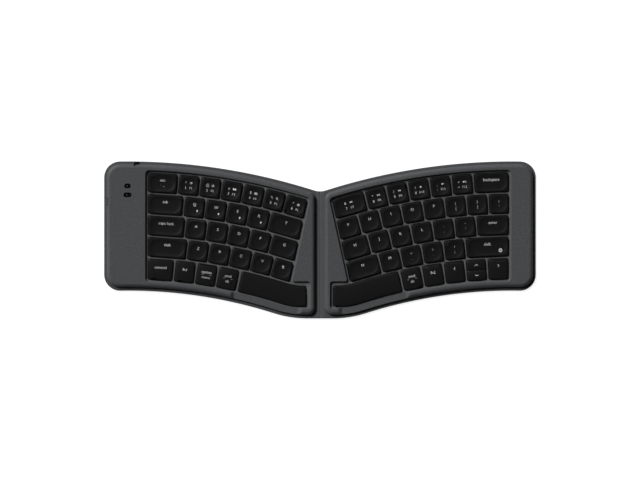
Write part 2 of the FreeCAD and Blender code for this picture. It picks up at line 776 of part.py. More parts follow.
def battery():
    front_y = POCKET_FRONT_Y + INNER_CLEARANCE
    pack = block(POCKET_INNER_X + INNER_CLEARANCE, POCKET_OUTER_X - INNER_CLEARANCE,
                 front_y, front_y + BATTERY_LENGTH, BASE_Z, BASE_Z + BATTERY_T)
    return round_upright_edges(pack, BATTERY_T / 2, lambda p: True)


def main_board():
    """The board with its chip and the housing of the power switch."""
    front_y, back_y = board_span()
    inner_x = POCKET_INNER_X + INNER_CLEARANCE
    board = block(inner_x, POCKET_OUTER_X - INNER_CLEARANCE, front_y, back_y,
                  BASE_Z, BASE_Z + BOARD_T)
    wall_y = notch_floor_y() - SWITCH_WALL - INNER_CLEARANCE
    middle_x = NOTCH_INNER_X + NOTCH_WIDTH / 2
    tongue = block(inner_x, 2 * middle_x - inner_x, back_y, wall_y, BASE_Z, BASE_Z + BOARD_T)
    chip_size = 7.0
    chip_x = inner_x + chip_size
    chip_y = front_y + chip_size / 2
    chip = block(chip_x, chip_x + chip_size, chip_y, chip_y + chip_size,
                 BASE_Z + BOARD_T, BASE_Z + 2 * BOARD_T)
    switch = block(NOTCH_INNER_X, NOTCH_INNER_X + NOTCH_WIDTH, wall_y - SWITCH_BODY_LENGTH,
                   wall_y, BASE_Z + BOARD_T, SHELL_TOP_Z - INNER_CLEARANCE)
    socket_inner_x, _ = socket_reach()
    gap = block(socket_inner_x, POCKET_OUTER_X, SOCKET_Y - SOCKET_WIDTH / 2 - INNER_CLEARANCE,
                SOCKET_Y + SOCKET_WIDTH / 2 + INNER_CLEARANCE, BASE_Z, BASE_Z + BOARD_T)
    return board.fuse([tongue, chip, switch]).removeSplitter().cut(gap)


def left_shell():
    shell = upper_shell(LEFT_ROWS, LEFT_FIELD_X)
    socket_inner_x, _ = socket_reach()
    cuts = [
        panel_pocket(),
        switch_notch(),
        stem_slot(),
        lens_prism(ROUND_LENS, SHELL_TOP_Z, RIM_Z),
        lens_prism(LONG_LENS, SHELL_TOP_Z, RIM_Z),
        socket_prism(socket_inner_x, BODY_OUTER_X + 1, 0),
    ]
    return shell.cut(cuts)


# Assembly


def mirrored(shape):
    return shape.mirror(Vector(0, 0, 0), Vector(1, 0, 0))


def half_nodes(side, rows, field_x):
    """The nodes that both halves have, drawn as on the right."""
    middles = key_middles(rows, field_x)
    nodes = {
        "switch_plate_" + side: [key_well(field_x, 0, BASE_Z, MEMBRANE_Z)],
        "membrane_" + side: [key_well(field_x, 0, MEMBRANE_Z, MEMBRANE_TOP_Z)],
        "scissor_links_" + side: [at_key(scissor_link(), *place) for place in middles],
        "rubber_domes_" + side: [at_key(rubber_dome(), *place) for place in middles],
        "magnets_" + side: magnets(),
        "feet_" + side: feet(),
    }
    nodes.update(key_nodes(rows, field_x))
    return nodes


def all_nodes():
    right = half_nodes("right", RIGHT_ROWS, RIGHT_FIELD_X)
    right["cover_right"] = [cover_half()]
    right["upper_shell_right"] = [upper_shell(RIGHT_ROWS, RIGHT_FIELD_X)]
    left = half_nodes("left", LEFT_ROWS, LEFT_FIELD_X)
    left["cover_left"] = [cover_half()]
    left["upper_shell_left"] = [left_shell()]
    left["main_board"] = [main_board()]
    left["battery"] = [battery()]
    left["usb_c_socket"] = [usb_c_socket()]
    left["power_switch_knob"] = [power_switch_knob()]
    left["indicator_lenses"] = [lens_prism(place, SHELL_TOP_Z, RIM_Z - LENS_SINK)
                                for place in (ROUND_LENS, LONG_LENS)]
    nodes = {"cover_spine": [cover_spine()], "ribbon_cable": [ribbon()]}
    nodes.update(right)
    for name, shapes in left.items():
        nodes[name] = [mirrored(shape) for shape in shapes]
    return nodes


def export(name, shapes):
    solids = [solid for shape in shapes for solid in shape.Solids]
    whole = solids[0] if len(solids) == 1 else Part.makeCompound(solids)
    whole.exportStep("parts/" + name + ".step")


os.makedirs("parts", exist_ok=True)
for node_name, node_shapes in all_nodes().items():
    export(node_name, node_shapes)
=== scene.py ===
import json
import math

import bmesh
import bpy
import numpy as np
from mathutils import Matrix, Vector
from mathutils.geometry import delaunay_2d_cdt


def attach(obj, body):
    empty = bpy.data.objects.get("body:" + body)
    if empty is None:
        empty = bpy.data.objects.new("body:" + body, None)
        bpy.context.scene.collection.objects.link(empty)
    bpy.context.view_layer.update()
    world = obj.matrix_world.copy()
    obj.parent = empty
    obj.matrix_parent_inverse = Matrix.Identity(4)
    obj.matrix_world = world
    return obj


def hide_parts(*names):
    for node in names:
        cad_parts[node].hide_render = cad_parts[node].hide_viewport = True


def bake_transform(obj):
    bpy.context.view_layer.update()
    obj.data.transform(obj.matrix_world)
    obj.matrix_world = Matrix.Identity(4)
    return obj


# Looks of the folding keyboard. Sizes are in millimetres and follow the part's own;
# meshes are made in metres. Each half is drawn as the right one, x away from the fold,
# and mirrored for the left one.

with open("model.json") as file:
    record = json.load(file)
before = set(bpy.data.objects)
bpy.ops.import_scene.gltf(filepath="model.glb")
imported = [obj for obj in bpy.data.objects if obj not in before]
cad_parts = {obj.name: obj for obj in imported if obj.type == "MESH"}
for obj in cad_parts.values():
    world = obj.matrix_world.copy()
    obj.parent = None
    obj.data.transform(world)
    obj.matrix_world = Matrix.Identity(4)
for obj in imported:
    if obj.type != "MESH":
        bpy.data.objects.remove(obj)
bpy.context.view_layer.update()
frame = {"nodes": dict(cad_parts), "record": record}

MM = 0.001

# Outline
OPEN_WIDTH = 390.6
ROW_CENTRE = np.array([OPEN_WIDTH / 2 - 21.3, -484.0])
BACK_EDGE_R = 555.05
FRONT_EDGE_R = 438.07
FRONT_FLARE_X = 11.67
FRONT_FLARE_R = 99.0
BACK_DIP_R = 17.1
COVER_CORNER_R = 14.5
COVER_LIP = 2.5
FRONT_LIP_EXTRA = 0.7
BODY_OUTER_X = OPEN_WIDTH / 2 - COVER_LIP
BODY_INNER_X = 4.1
BODY_OUTER_CORNER_R = 12.0
BODY_FOLD_CORNER_R = 7.0
BODY_EDGE_R = 3.5
FOLD_LINE_X = 4.0

# Heights
COVER_Z = 0.8
BASE_Z = 1.8
RIM_Z = 5.55
WEB_Z = 3.75
CAVITY_Z = 3.25
ROOF_Z = 4.75
KEY_TOP_Z = 5.25
KEY_BOTTOM_Z = 4.15

# Key field
TOP_ROW_R = 536.15
ROW_PITCH = 19.4
FRONT_ROW_EXTRA = 1.55
FRONT_ROW = 4
INNER_LINE_Y = 27.1
INNER_LINE_LEAN = math.radians(12.4)
KEY_PITCH = 19.62
WEB_WIDTH = 1.4
KEY_GAP = 0.55
RECESS_MARGIN = 1.2
RECESS_FRONT_MARGIN = 0.2
RECESS_CORNER_R = 3.5
RECESS_NOOK_R = 1.8
BOTTOM_ROW_R = TOP_ROW_R - FRONT_ROW * ROW_PITCH
FIELD_BACK_R = TOP_ROW_R + ROW_PITCH / 2
FIELD_FRONT_R = BOTTOM_ROW_R - ROW_PITCH / 2 - FRONT_ROW_EXTRA
SPACE_BACK_FLAT_X = 14.5
SPACE_FRONT_FLAT_X = 19.1
SPACE_FLARE_R = 54.0
SPACE_WELL_BACK_FLAT_X = 23.4
SPACE_WELL_FRONT_FLAT_X = 19.1
SPACE_WELL_CORNER_R = 2.5
WINDOW_CORNER_R = 2.2
KEY_CORNER_R = 1.8

# Rounded edge of the sunk field: how far it reaches and how deep it goes, in general and
# at the front wall, whose normal points to the back by more than FRONT_WALL_SHARE
EDGE_REACH = 0.65
EDGE_DROP = 0.5
FRONT_EDGE_REACH = 1.7
FRONT_EDGE_DROP = 0.8
FRONT_WALL_SHARE = 0.5
FRONT_WALL_BLEND = 0.3
FOOT_R = 0.3
FLAT_LAP = 0.2
LENS_BEVEL = 0.12
WINDOW_BEVEL = 0.1
WINDOW_BEVEL_MIDDLE = 0.03
CAVITY_MARGIN = 0.3

# Thumb cut: the rim in front of a space bar is as low as the webs
THUMB_INNER = (15.2, 20.6)
THUMB_OUTER = (77.7, 81.4)
THUMB_Y = -52.0
THUMB_R = 449.4
THUMB_START_Z = RIM_Z + 0.5
THUMB_BLEND = 0.35

# Keycaps: dished ones, and crowned ones in the front row
CAP_EDGE_R = 0.55
DISH_DEPTH = 0.5
DISH_MARGIN = 1.2
DISH_SQUARENESS = 2.1
DISH_RINGS = (1.06, 1.0, 0.95, 0.9, 0.83, 0.74, 0.62, 0.45, 0.25)
DISH_STEPS = 24
DISH_RUN_STEP = 0.8
DISH_RUN_MIN = 0.2
CROWN = 0.3
CROWN_GRID = 1.6
CROWN_MARGIN = 1.2

# Cover: its round edge, the zone in which it bends, and points within that let it bend
COVER_EDGE_R = 0.45
SHEET_XS = (*np.arange(0.5, 8.1, 0.5), 10, 14, 20)
SHEET_YS = (-69.4, -68, *np.arange(-66, 38, 4.0), 38.5, 40, 41)

# Side panel, switch and socket
POCKET_OUTER_X = BODY_OUTER_X - 3.0
POCKET_INNER_X = POCKET_OUTER_X - 27.8
POCKET_FRONT_Y = -30.0
POCKET_BACK_Y = 52.5
POCKET_CORNER_R = 0.5
POCKET_WALL = 1.5
LENS_X = BODY_OUTER_X - 19.0
LENSES = ((48.7, 5.9, 4.3), (40.6, 7.3, 4.2))
NOTCH_INNER_X = BODY_OUTER_X - 28.7
NOTCH_WIDTH = 4.3
NOTCH_DEPTH = 4.6
NOTCH_INNER_DEPTH = 1.9
NOTCH_CORNER_R = 0.3
SOCKET_Y = 34.0
SOCKET_WIDTH = 8.94
SOCKET_H = 3.16
MAGNET_X = BODY_OUTER_X - 10.8
MAGNET_YS = (59.0, -36.0)
MAGNET_HALF = (5.0, 2.0)
MAGNET_CORNER_R = 0.2
MAGNET_ROOF = 0.6

# Marks in the lenses: place from the lens's middle, lens and radius, and their heights
MARKS = ((0.3, 0, 0.6), (0.7, 1, 0.6), (-2.0, 1, 0.28))
MARK_SIDES = 20
MARK_Z = (RIM_Z - 0.12, RIM_Z - 0.07)

# Black plate under the power switch's knob: painted shade on the floor of its notch
SHADE_BED_PLAY = 0.1
SHADE_BED_BACK = 1.6
SHADE_BED_Z = (BASE_Z + 0.05, BASE_Z + 0.5)

# Legends; x of the first and the second column on a number key
TEXT_THINNER = -0.05
TEXT_STEPS = 3
LEGEND_LIFT = 0.03
NUMBER_XS = {"left": (-2.7, 2.1), "right": (-3.5, 1.8)}

# Degrees below which faces are shaded as one
SHELL_SMOOTH = 32
SOFT_SMOOTH = 40

# Light and camera, in metres
FLOOR_SIZE = 8
FLOOR_GLOW = 0.87
FLOOR_GREY = 0.25
FLOOR_HIDDEN_GREY = 0.8
WORLD_STRENGTH = 0.06
SUN_STRENGTH = 5.05
SUN_ANGLE = math.radians(16)
SUN_DIRECTION = (0.58, -0.58, -0.57)
CAMERA_PLACE = (0.00003, -0.0001, 2.2)
VIEW_WIDTH = 0.5790
SENSOR_WIDTH = 36


def group(node, labels):
    return [(node, label) for label in labels]


# Rows: where the first full key starts, in pitches, then every key's node and legend from
# the outer edge to the fold
LEFT_ROWS = (
    (2.333, [("key_esc", "esc"), *group("keys_numbers_left", "123456")]),
    (2.588, [("key_tab", "tab"), *group("keys_upper_letters_left", "QWERT")]),
    (2.654, [("key_caps_lock", "caps lock"), ("key_a", "A"), ("key_s", "S"), ("key_d", "D"),
             ("key_f", "F"), ("key_g", "G")]),
    (2.756, [("key_shift_left", "shift"), *group("keys_lower_letters_left", "ZXCVB")]),
    (2.155, [("key_control", "control"), ("key_fn1", "fn1"), ("key_option", "option/menu"),
             ("key_alt_left", "cmd/alt"), ("key_space_left", "")]),
)
RIGHT_ROWS = (
    (1.806, [("key_backspace", "backspace"), *group("keys_numbers_right", "=-0987")]),
    (1.115, [("key_backslash", "\\"), *group("keys_upper_letters_right", "][POIUY")]),
    (1.669, [("key_enter", "enter"), ("key_quote", "'"), ("key_semicolon", ";"),
             ("key_l", "L"), ("key_k", "K"), ("key_j", "J"), ("key_h", "H")]),
    (2.169, [("key_shift_right", "shift"), *group("keys_lower_letters_right", "/.,MN")]),
    (1.161, [("key_arrow_right", ">"), ("arrow_pair", ""), ("key_arrow_left", "<"),
             ("key_fn2", "fn2"), ("key_alt_right", "cmd/alt"), ("key_space_right", "")]),
)

# What differs between the halves: the outer end of the key field, the line beside the
# fold where its rows end, the inner ends of the space bar and of its well, and how much
# wider the web at the bar's outer end is
HALVES = {
    "left": {"rows": LEFT_ROWS, "field_x": BODY_OUTER_X - 36.45, "line_x": 12.45,
             "space_x": 11.3, "space_gap": 0.65, "space_well_x": 8.9},
    "right": {"rows": RIGHT_ROWS, "field_x": BODY_OUTER_X - 21.5, "line_x": 12.0,
              "space_x": 10.9, "space_gap": 0.2, "space_well_x": 9.5},
}


# Plane paths: lines and arcs with the inside on the left, joined by fillets

ARC_TURN = math.radians(9)
ANYWHERE = (0, 0)
SHELL_STEP = 0.8
SHEET_STEP = 2.0
CELL_STEP = 4.0
LONG_STEP = 200


def unit(v):
    v = np.asarray(v, float)
    return v / np.linalg.norm(v)


def left_of(d):
    return np.array([-d[1], d[0]])


def line(x, y, dx, dy):
    return {"p": np.array([x, y], float), "d": unit((dx, dy))}


def arc(centre, radius, sense):
    """sense is 1 where the inside is the arc's own centre, and -1 on a hollow arc."""
    return {"c": np.asarray(centre, float), "r": radius, "s": sense}


def shifted(prim, t):
    if "p" in prim:
        return {"p": prim["p"] + left_of(prim["d"]) * t, "d": prim["d"]}
    return {"c": prim["c"], "r": prim["r"] - prim["s"] * t, "s": prim["s"]}


def crossing(a, b, hint):
    """Where two primitives cross, nearest to the hint."""
    if "p" not in a:
        a, b = b, a
    if "p" in b:
        turn = a["d"][0] * b["d"][1] - a["d"][1] * b["d"][0]
        between = b["p"] - a["p"]
        along = (between[0] * b["d"][1] - between[1] * b["d"][0]) / turn
        return a["p"] + a["d"] * along
    start = a["p"] - b["c"]
    half_b = start @ a["d"]
    root = math.sqrt(max(half_b**2 - start @ start + b["r"] ** 2, 0))
    options = [a["p"] + a["d"] * (-half_b + k * root) for k in (-1, 1)]
    return min(options, key=lambda q: np.linalg.norm(q - hint))


def foot_on(prim, point):
    if "p" in prim:
        return prim["p"] + prim["d"] * ((point - prim["p"]) @ prim["d"])
    return prim["c"] + unit(point - prim["c"]) * prim["r"]


def sample_arc(centre, radius, sense, start, end, step, out):
    a0 = math.atan2(*(start - centre)[::-1])
    a1 = math.atan2(*(end - centre)[::-1])
    turn = (a1 - a0) * sense % (2 * math.pi)
    count = max(1, math.ceil(max(turn * radius / step, turn / ARC_TURN)))
    for k in range(count):
        a = a0 + sense * turn * k / count
        radial = np.array([math.cos(a), math.sin(a)])
        out.append(np.concatenate([centre + radial * radius, -sense * radial]))


def sample_line(start, end, direction, step, out):
    count = max(1, math.ceil(np.linalg.norm(end - start) / step))
    for k in range(count):
        out.append(np.concatenate([start + (end - start) * k / count, left_of(direction)]))


def path(prims, joints, step, start=None, end=None):
    """Points with inward normals, as rows x, y, nx, ny. joints[i] joins primitive i to the
    next one: (radius, hint). The hint lies near the fillet's centre, or where they touch
    if the radius is 0. An open path has a start and an end."""
    ends = []
    for index, (radius, hint) in enumerate(joints):
        a, b = prims[index], prims[(index + 1) % len(prims)]
        if radius == 0:
            ends.append((hint, hint, None, 0))
        else:
            centre = crossing(shifted(a, radius), shifted(b, radius), hint)
            ends.append((foot_on(a, centre), foot_on(b, centre), centre, radius))
    out = []
    for index, prim in enumerate(prims):
        first = start if index == 0 and start is not None else ends[index - 1][1]
        last = ends[index][0] if index < len(joints) else end
        first, last = np.asarray(first), np.asarray(last)
        if "p" in prim:
            sample_line(first, last, prim["d"], step, out)
        else:
            sample_arc(prim["c"], prim["r"], prim["s"], first, last, step, out)
        if index < len(joints) and ends[index][3]:
            tangent_a, tangent_b, centre, radius = ends[index]
            sample_arc(centre, abs(radius), 1 if radius > 0 else -1, tangent_a, tangent_b,
                       step, out)
    if end is not None:
        out.append(np.concatenate([end, out[-1][2:]]))
    return np.array(out)


def box_path(x0, x1, y0, y1, corner):
    prims = [line(x0, y0, 1, 0), line(x1, 0, 0, 1), line(x1, y1, -1, 0), line(x0, 0, 0, -1)]
    return path(prims, [(corner, ANYWHERE)] * 4, LONG_STEP)


def pill_path(x, y, length, width):
    """A bar with round ends, whose corners stop just short of each other."""
    half_x, half_y = length / 2, width / 2
    return box_path(x - half_x, x + half_x, y - half_y, y + half_y, half_y * 0.999)


def moved_in(rows, inset):
    return rows[:, :2] + rows[:, 2:] * np.reshape(inset, (-1, 1))


def inside(points, polygon):
    """Which points lie in a closed polygon, by counting crossings."""
    result = np.zeros(len(points), bool)
    x, y = points.T
    ends = np.roll(polygon, -1, axis=0)
    low, high = polygon.min(0), polygon.max(0)
    near = (x > low[0]) & (x < high[0]) & (y > low[1]) & (y < high[1])
    xs, ys = x[near], y[near]
    odd = np.zeros(len(xs), bool)
    for (x0, y0), (x1, y1) in zip(polygon, ends):
        if y0 != y1:
            between = (y0 > ys) != (y1 > ys)
            odd ^= between & (xs < (x1 - x0) * (ys - y0) / (y1 - y0) + x0)
    result[near] = odd
    return result


def quarter(*degrees):
    """Cosine and sine at steps of a rounded edge."""
    return [(math.cos(turn), math.sin(turn)) for turn in map(math.radians, degrees)]


# The plan's lines


def outward(angle):
    return np.array([-math.sin(angle), math.cos(angle)])


def towards_fold(angle):
    return np.array([-math.cos(angle), -math.sin(angle)])


def arc_point(radius, angle):
    return ROW_CENTRE + radius * outward(angle)


def flare(arc_r, flat_x, flare_r):
    """Centre of a flare and the places where it meets its flat line and its arc."""
    turn = math.asin((ROW_CENTRE[0] - flat_x) / (arc_r + flare_r))
    centre = arc_point(arc_r + flare_r, turn)
    return centre, centre - (0, flare_r), arc_point(arc_r, turn)


def outline_from(x, inset, front_inset, corner):
    """Front line, flare, front arc, outer side and back arc, with their joints, and the
    place where the front line ends."""
    front_r = FRONT_EDGE_R + front_inset
    flare_r = FRONT_FLARE_R - front_inset
    outer_x = OPEN_WIDTH / 2 - inset
    centre, flat_end, flare_end = flare(front_r, FRONT_FLARE_X, flare_r)
    prims = [
        line(x, flat_end[1], 1, 0),
        arc(centre, flare_r, 1),
        arc(ROW_CENTRE, front_r, -1),
        line(outer_x, 0, 0, 1),
        arc(ROW_CENTRE, BACK_EDGE_R - inset, 1),
    ]
    joints = [(0, flat_end), (0, flare_end), (corner, (outer_x, -50)), (corner, (outer_x, 70))]
    return prims, joints, flat_end


def body_path():
    """Edge of a half's shell."""
    x, corner = BODY_INNER_X, BODY_FOLD_CORNER_R
    prims, joints, flat_end = outline_from(
        x, COVER_LIP, COVER_LIP + FRONT_LIP_EXTRA, BODY_OUTER_CORNER_R)
    prims.append(line(x, 0, 0, -1))
    joints += [(corner, (x, 45)), (corner, (x, flat_end[1]))]
    return path(prims, joints, SHELL_STEP)


def cover_path():
    """The right half of the cover's edge, from the middle of the front to the dip."""
    prims, joints, flat_end = outline_from(0, 0, 0, COVER_CORNER_R)
    reach = BACK_EDGE_R + BACK_DIP_R
    dip_y = ROW_CENTRE[1] + math.sqrt(reach**2 - ROW_CENTRE[0] ** 2)
    prims.append(arc((0, dip_y), BACK_DIP_R, -1))
    joints.append((0, arc_point(BACK_EDGE_R, math.asin(ROW_CENTRE[0] / reach))))
    return path(prims, joints, SHEET_STEP, (0, flat_end[1]), (0, dip_y - BACK_DIP_R))


def inner_line(side, inset):
    """A point and the direction of the line beside the fold where the rows end."""
    point = np.array([HALVES[side]["line_x"], INNER_LINE_Y])
    return point - towards_fold(INNER_LINE_LEAN) * inset, outward(INNER_LINE_LEAN)


def well_path(side, grow):
    """Edge of the sunk key field, larger by grow all round."""
    more = grow + RECESS_FRONT_MARGIN
    front_r = FIELD_FRONT_R - RECESS_FRONT_MARGIN - grow
    side_x = HALVES[side]["field_x"] + RECESS_MARGIN + grow
    end_x = HALVES[side]["space_well_x"] - more
    place, lean = inner_line(side, -RECESS_MARGIN - grow)
    front_centre, front_flat, front_arc = flare(
        front_r, SPACE_WELL_FRONT_FLAT_X, SPACE_FLARE_R + more)
    _, back_flat, _ = flare(
        BOTTOM_ROW_R + ROW_PITCH / 2 + more, SPACE_WELL_BACK_FLAT_X, SPACE_FLARE_R - more)
    corner, small = RECESS_CORNER_R + grow, SPACE_WELL_CORNER_R + grow
    prims = [
        line(end_x, front_flat[1], 1, 0),
        arc(front_centre, SPACE_FLARE_R + more, 1),
        arc(ROW_CENTRE, front_r, -1),
        line(side_x, 0, 0, 1),
        arc(ROW_CENTRE, FIELD_BACK_R + RECESS_MARGIN + grow, 1),
        line(*place, *-lean),
        line(end_x, back_flat[1], -1, 0),
        line(end_x, 0, 0, -1),
    ]
    joints = [
        (0, front_flat), (0, front_arc), (corner, (side_x, -40)), (corner, (side_x, 60)),
        (corner, (14, 40)), (-RECESS_NOOK_R, (25, -38)),
        (small, (end_x, back_flat[1])), (small, (end_x, front_flat[1])),
    ]
    return path(prims, joints, SHELL_STEP)


def space_path(side, outer, inset, corner):
    """Edge of a space bar or its window, with its outer side line given."""
    back_r = BOTTOM_ROW_R + ROW_PITCH / 2 - inset
    front_r = FIELD_FRONT_R + inset
    end_x = HALVES[side]["space_x"] + inset
    back_centre, back_flat, back_arc = flare(back_r, SPACE_BACK_FLAT_X, SPACE_FLARE_R + inset)
    front_centre, front_flat, front_arc = flare(
        front_r, SPACE_FRONT_FLAT_X, SPACE_FLARE_R - inset)
    prims = [
        line(end_x, front_flat[1], 1, 0),
        arc(front_centre, SPACE_FLARE_R - inset, 1),
        arc(ROW_CENTRE, front_r, -1),
        line(*outer[0], *outer[1]),
        arc(ROW_CENTRE, back_r, 1),
        arc(back_centre, SPACE_FLARE_R + inset, -1),
        line(end_x, back_flat[1], -1, 0),
        line(end_x, 0, 0, -1),
    ]
    far = arc_point(BOTTOM_ROW_R, angle_on_line(BOTTOM_ROW_R, *outer))
    joints = [
        (0, front_flat), (0, front_arc), (corner, far + (0, -9)), (corner, far + (0, 9)),
        (0, back_arc), (0, back_flat),
        (corner, (end_x, back_flat[1])), (corner, (end_x, front_flat[1])),
    ]
    return path(prims, joints, SHEET_STEP)


def angle_on_line(radius, point, direction):
    """Angle at which a line crosses a row's arc."""
    start = point - ROW_CENTRE
    half_b = start @ direction
    along = -half_b + math.sqrt(half_b**2 - start @ start + radius**2)
    x, y = start + direction * along
    return math.atan2(-x, y)


def side_line(radius, along, lean, shift):
    angle = along / radius
    return arc_point(radius, angle) + towards_fold(lean) * shift, outward(lean)


class Cell:
    """The window of one key, or of the pair of short arrow keys. Its outer side looks to
    the keyboard's end and its inner side to the fold."""

    def __init__(self, side, row, key, kind, along):
        self.side, self.row, self.kind, self.along = side, row, kind, along
        self.node, self.label = key
        self.radius = TOP_ROW_R - row * ROW_PITCH
        front_r = FIELD_FRONT_R if row == FRONT_ROW else self.radius - ROW_PITCH / 2
        self.front_r = front_r + WEB_WIDTH / 2
        self.back_r = self.radius + ROW_PITCH / 2 - WEB_WIDTH / 2
        self.depth = self.back_r - self.front_r
        self.is_space = self.node.startswith("key_space")

    def sides(self, inset):
        """The outer and the inner side line, moved in from the middle of the webs."""
        radius, along = self.radius, self.along
        if self.kind == "outer":
            edge = np.array([HALVES[self.side]["field_x"] - inset, 0.0]), np.array([0.0, 1.0])
            return edge, side_line(radius, along, along / radius, -inset)
        if self.kind == "inner":
            outer = side_line(radius, along, along / radius, inset)
            return outer, inner_line(self.side, inset)
        lean = (along + KEY_PITCH / 2) / radius
        outer = side_line(radius, along, lean, inset)
        return outer, side_line(radius, along + KEY_PITCH, lean, -inset)

    def angles(self, inset):
        return [angle_on_line(self.radius, *edge) for edge in self.sides(inset)]

    def edge(self, gap, corner, part=(0, 1)):
        """Edge of the window when gap is 0, or of a cap when gap is the play round it, in
        a part of the depth from the front (0) to the back (1)."""
        inset = WEB_WIDTH / 2 + gap
        if self.is_space:
            outer = self.sides(inset + HALVES[self.side]["space_gap"])[0]
            return space_path(self.side, outer, inset, corner)
        outer, inner = self.sides(inset)
        middle = sum(self.angles(WEB_WIDTH / 2)) / 2
        front = arc_point(self.front_r + part[0] * self.depth + gap, middle)
        back = arc_point(self.front_r + part[1] * self.depth - gap, middle)
        along = towards_fold(middle)
        prims = [
            line(*inner[0], *-inner[1]),
            line(*front, *-along),
            line(*outer[0], *outer[1]),
            line(*back, *along),
        ]
        return path(prims, [(corner, ANYWHERE)] * 4, CELL_STEP)


def cells_of(side):
    for row, (first, (outer, *full, inner)) in enumerate(HALVES[side]["rows"]):
        start = first * KEY_PITCH
        yield Cell(side, row, outer, "outer", start)
        for place, key in enumerate(full):
            yield Cell(side, row, key, "full", start + place * KEY_PITCH)
        yield Cell(side, row, inner, "inner", start + len(full) * KEY_PITCH)


# Meshes


def placed(name, data):
    piece = bpy.data.objects.new(name, data)
    bpy.context.scene.collection.objects.link(piece)
    return piece


def evaluated(piece):
    """A piece's mesh as it is with its modifiers or text."""
    bpy.context.view_layer.update()
    return bpy.data.meshes.new_from_object(
        piece.evaluated_get(bpy.context.evaluated_depsgraph_get()))


def rework(mesh, change):
    work = bmesh.new()
    work.from_mesh(mesh)
    change(work)
    work.to_mesh(mesh)
    work.free()


def join_doubles(work):
    """Joins doubled points and drops loose ones."""
    bmesh.ops.remove_doubles(work, verts=work.verts, dist=1e-7)
    bmesh.ops.dissolve_degenerate(work, dist=1e-8, edges=work.edges)
    loose = [v for v in work.verts if not v.link_faces]
    bmesh.ops.delete(work, geom=loose, context="VERTS")


def fill_holes(work):
    bmesh.ops.holes_fill(work, edges=[e for e in work.edges if e.is_boundary])


def face_up(work):
    bmesh.ops.recalc_face_normals(work, faces=work.faces)
    for face in work.faces:
        face.normal_update()
        if face.normal.z < 0:
            face.normal_flip()


def finish_mesh(mesh, smooth_angle):
    rework(mesh, join_doubles)
    mesh.shade_smooth()
    mesh.set_sharp_from_angle(angle=math.radians(smooth_angle))


class Shape:
    """A mesh that grows from rings and plates. Faces take the material number, kind, that
    is set when they are added."""

    def __init__(self):
        self.points = []
        self.faces = []
        self.kinds = []
        self.kind = 0

    def add(self, *corners):
        self.faces.append(corners)
        self.kinds.append(self.kind)

    def spots(self, plan, z):
        """Adds points of the plan; their height may differ from one to the next."""
        start = len(self.points)
        heights = np.broadcast_to(z, len(plan))
        self.points.extend((x, y, h) for (x, y), h in zip(plan, heights))
        return list(range(start, len(self.points)))

    def ring(self, rows, inset, z):
        return self.spots(moved_in(rows, inset), z)

    def cut_ring(self, rows, inset, z):
        plan = moved_in(rows, inset)
        return self.spots(plan, thumb_cut(plan, np.broadcast_to(z, len(plan))))

    def band(self, low, high, closed=True):
        count = len(low)
        for i in range(count if closed else count - 1):
            j = (i + 1) % count
            self.add(low[i], low[j], high[j], high[i])

    def stack(self, rings, closed=True):
        for low, high in zip(rings, rings[1:]):
            self.band(low, high, closed)

    def plate(self, outer, holes=(), spots=(), up=True):
        """Fills between an outer ring and holes, through the spots within."""
        indices, edges = [], []
        for chain in [outer, *holes]:
            start = len(indices)
            indices.extend(chain)
            edges.extend((start + i, start + (i + 1) % len(chain)) for i in range(len(chain)))
        indices.extend(spots)
        flat = [Vector(self.points[i][:2]) for i in indices]
        verts, _, faces, origins, _, _ = delaunay_2d_cdt(flat, edges, [], 0, 1e-5)
        names = [indices[origin[0]] for origin in origins]
        plan = np.array([tuple(v) for v in verts])
        middles = np.array([plan[list(face)].mean(0) for face in faces])
        within = [inside(middles, np.array([self.points[i][:2] for i in chain]))
                  for chain in [outer, *holes]]
        keep = within[0] & ~np.any(within[1:], axis=0)
        for face, kept in zip(faces, keep):
            if kept:
                named = [names[i] for i in face]
                a, b, c = (plan[i] for i in face[:3])
                turns_left = (b[0] - a[0]) * (c[1] - a[1]) - (b[1] - a[1]) * (c[0] - a[0]) > 0
                self.add(*(named if turns_left == up else named[::-1]))

    def block(self, rows, z0, z1):
        low, high = self.ring(rows, 0, z0), self.ring(rows, 0, z1)
        self.band(low, high)
        self.plate(high)
        self.plate(low, up=False)

    def hollow(self, rows, roof_z, holes=()):
        """A pocket that is open below. Gives the ring of its mouth."""
        roof, mouth = self.ring(rows, 0, roof_z), self.ring(rows, 0, BASE_Z)
        self.plate(roof, holes, up=False)
        self.band(roof, mouth)
        return mouth

    def object(self, name, mirror, smooth_angle=SHELL_SMOOTH):
        sign = -1 if mirror else 1
        mesh = bpy.data.meshes.new(name)
        points = [(x * sign * MM, y * MM, z * MM) for x, y, z in self.points]
        faces = [face[::-1] if mirror else face for face in self.faces]
        mesh.from_pydata(points, [], faces)
        mesh.polygons.foreach_set("material_index", self.kinds)
        mesh.validate()
        finish_mesh(mesh, smooth_angle)
        return placed(name, mesh)


# Upper shells


def smooth_step(t):
    t = np.clip(t, 0, 1)
    return t * t * (3 - 2 * t)


def soft_min(a, b, k):
    h = np.clip(0.5 + 0.5 * (b - a) / k, 0, 1)
    return b * (1 - h) + a * h - k * h * (1 - h)


def thumb_cut(plan, heights):
    """Lowers the rim in front of a space bar to the height of the webs."""
    x, y = plan.T
    share = smooth_step((x - THUMB_INNER[0]) / (THUMB_INNER[1] - THUMB_INNER[0]))
    share = share * smooth_step((THUMB_OUTER[1] - x) / (THUMB_OUTER[1] - THUMB_OUTER[0]))
    limit = THUMB_START_Z - (THUMB_START_Z - WEB_Z) * share
    front = (y < THUMB_Y) | (np.hypot(*(plan - ROW_CENTRE).T) < THUMB_R)
    lowered = np.maximum(soft_min(heights, limit, THUMB_BLEND), np.minimum(heights, WEB_Z))
    return np.where(front & (heights > WEB_Z), lowered, heights)


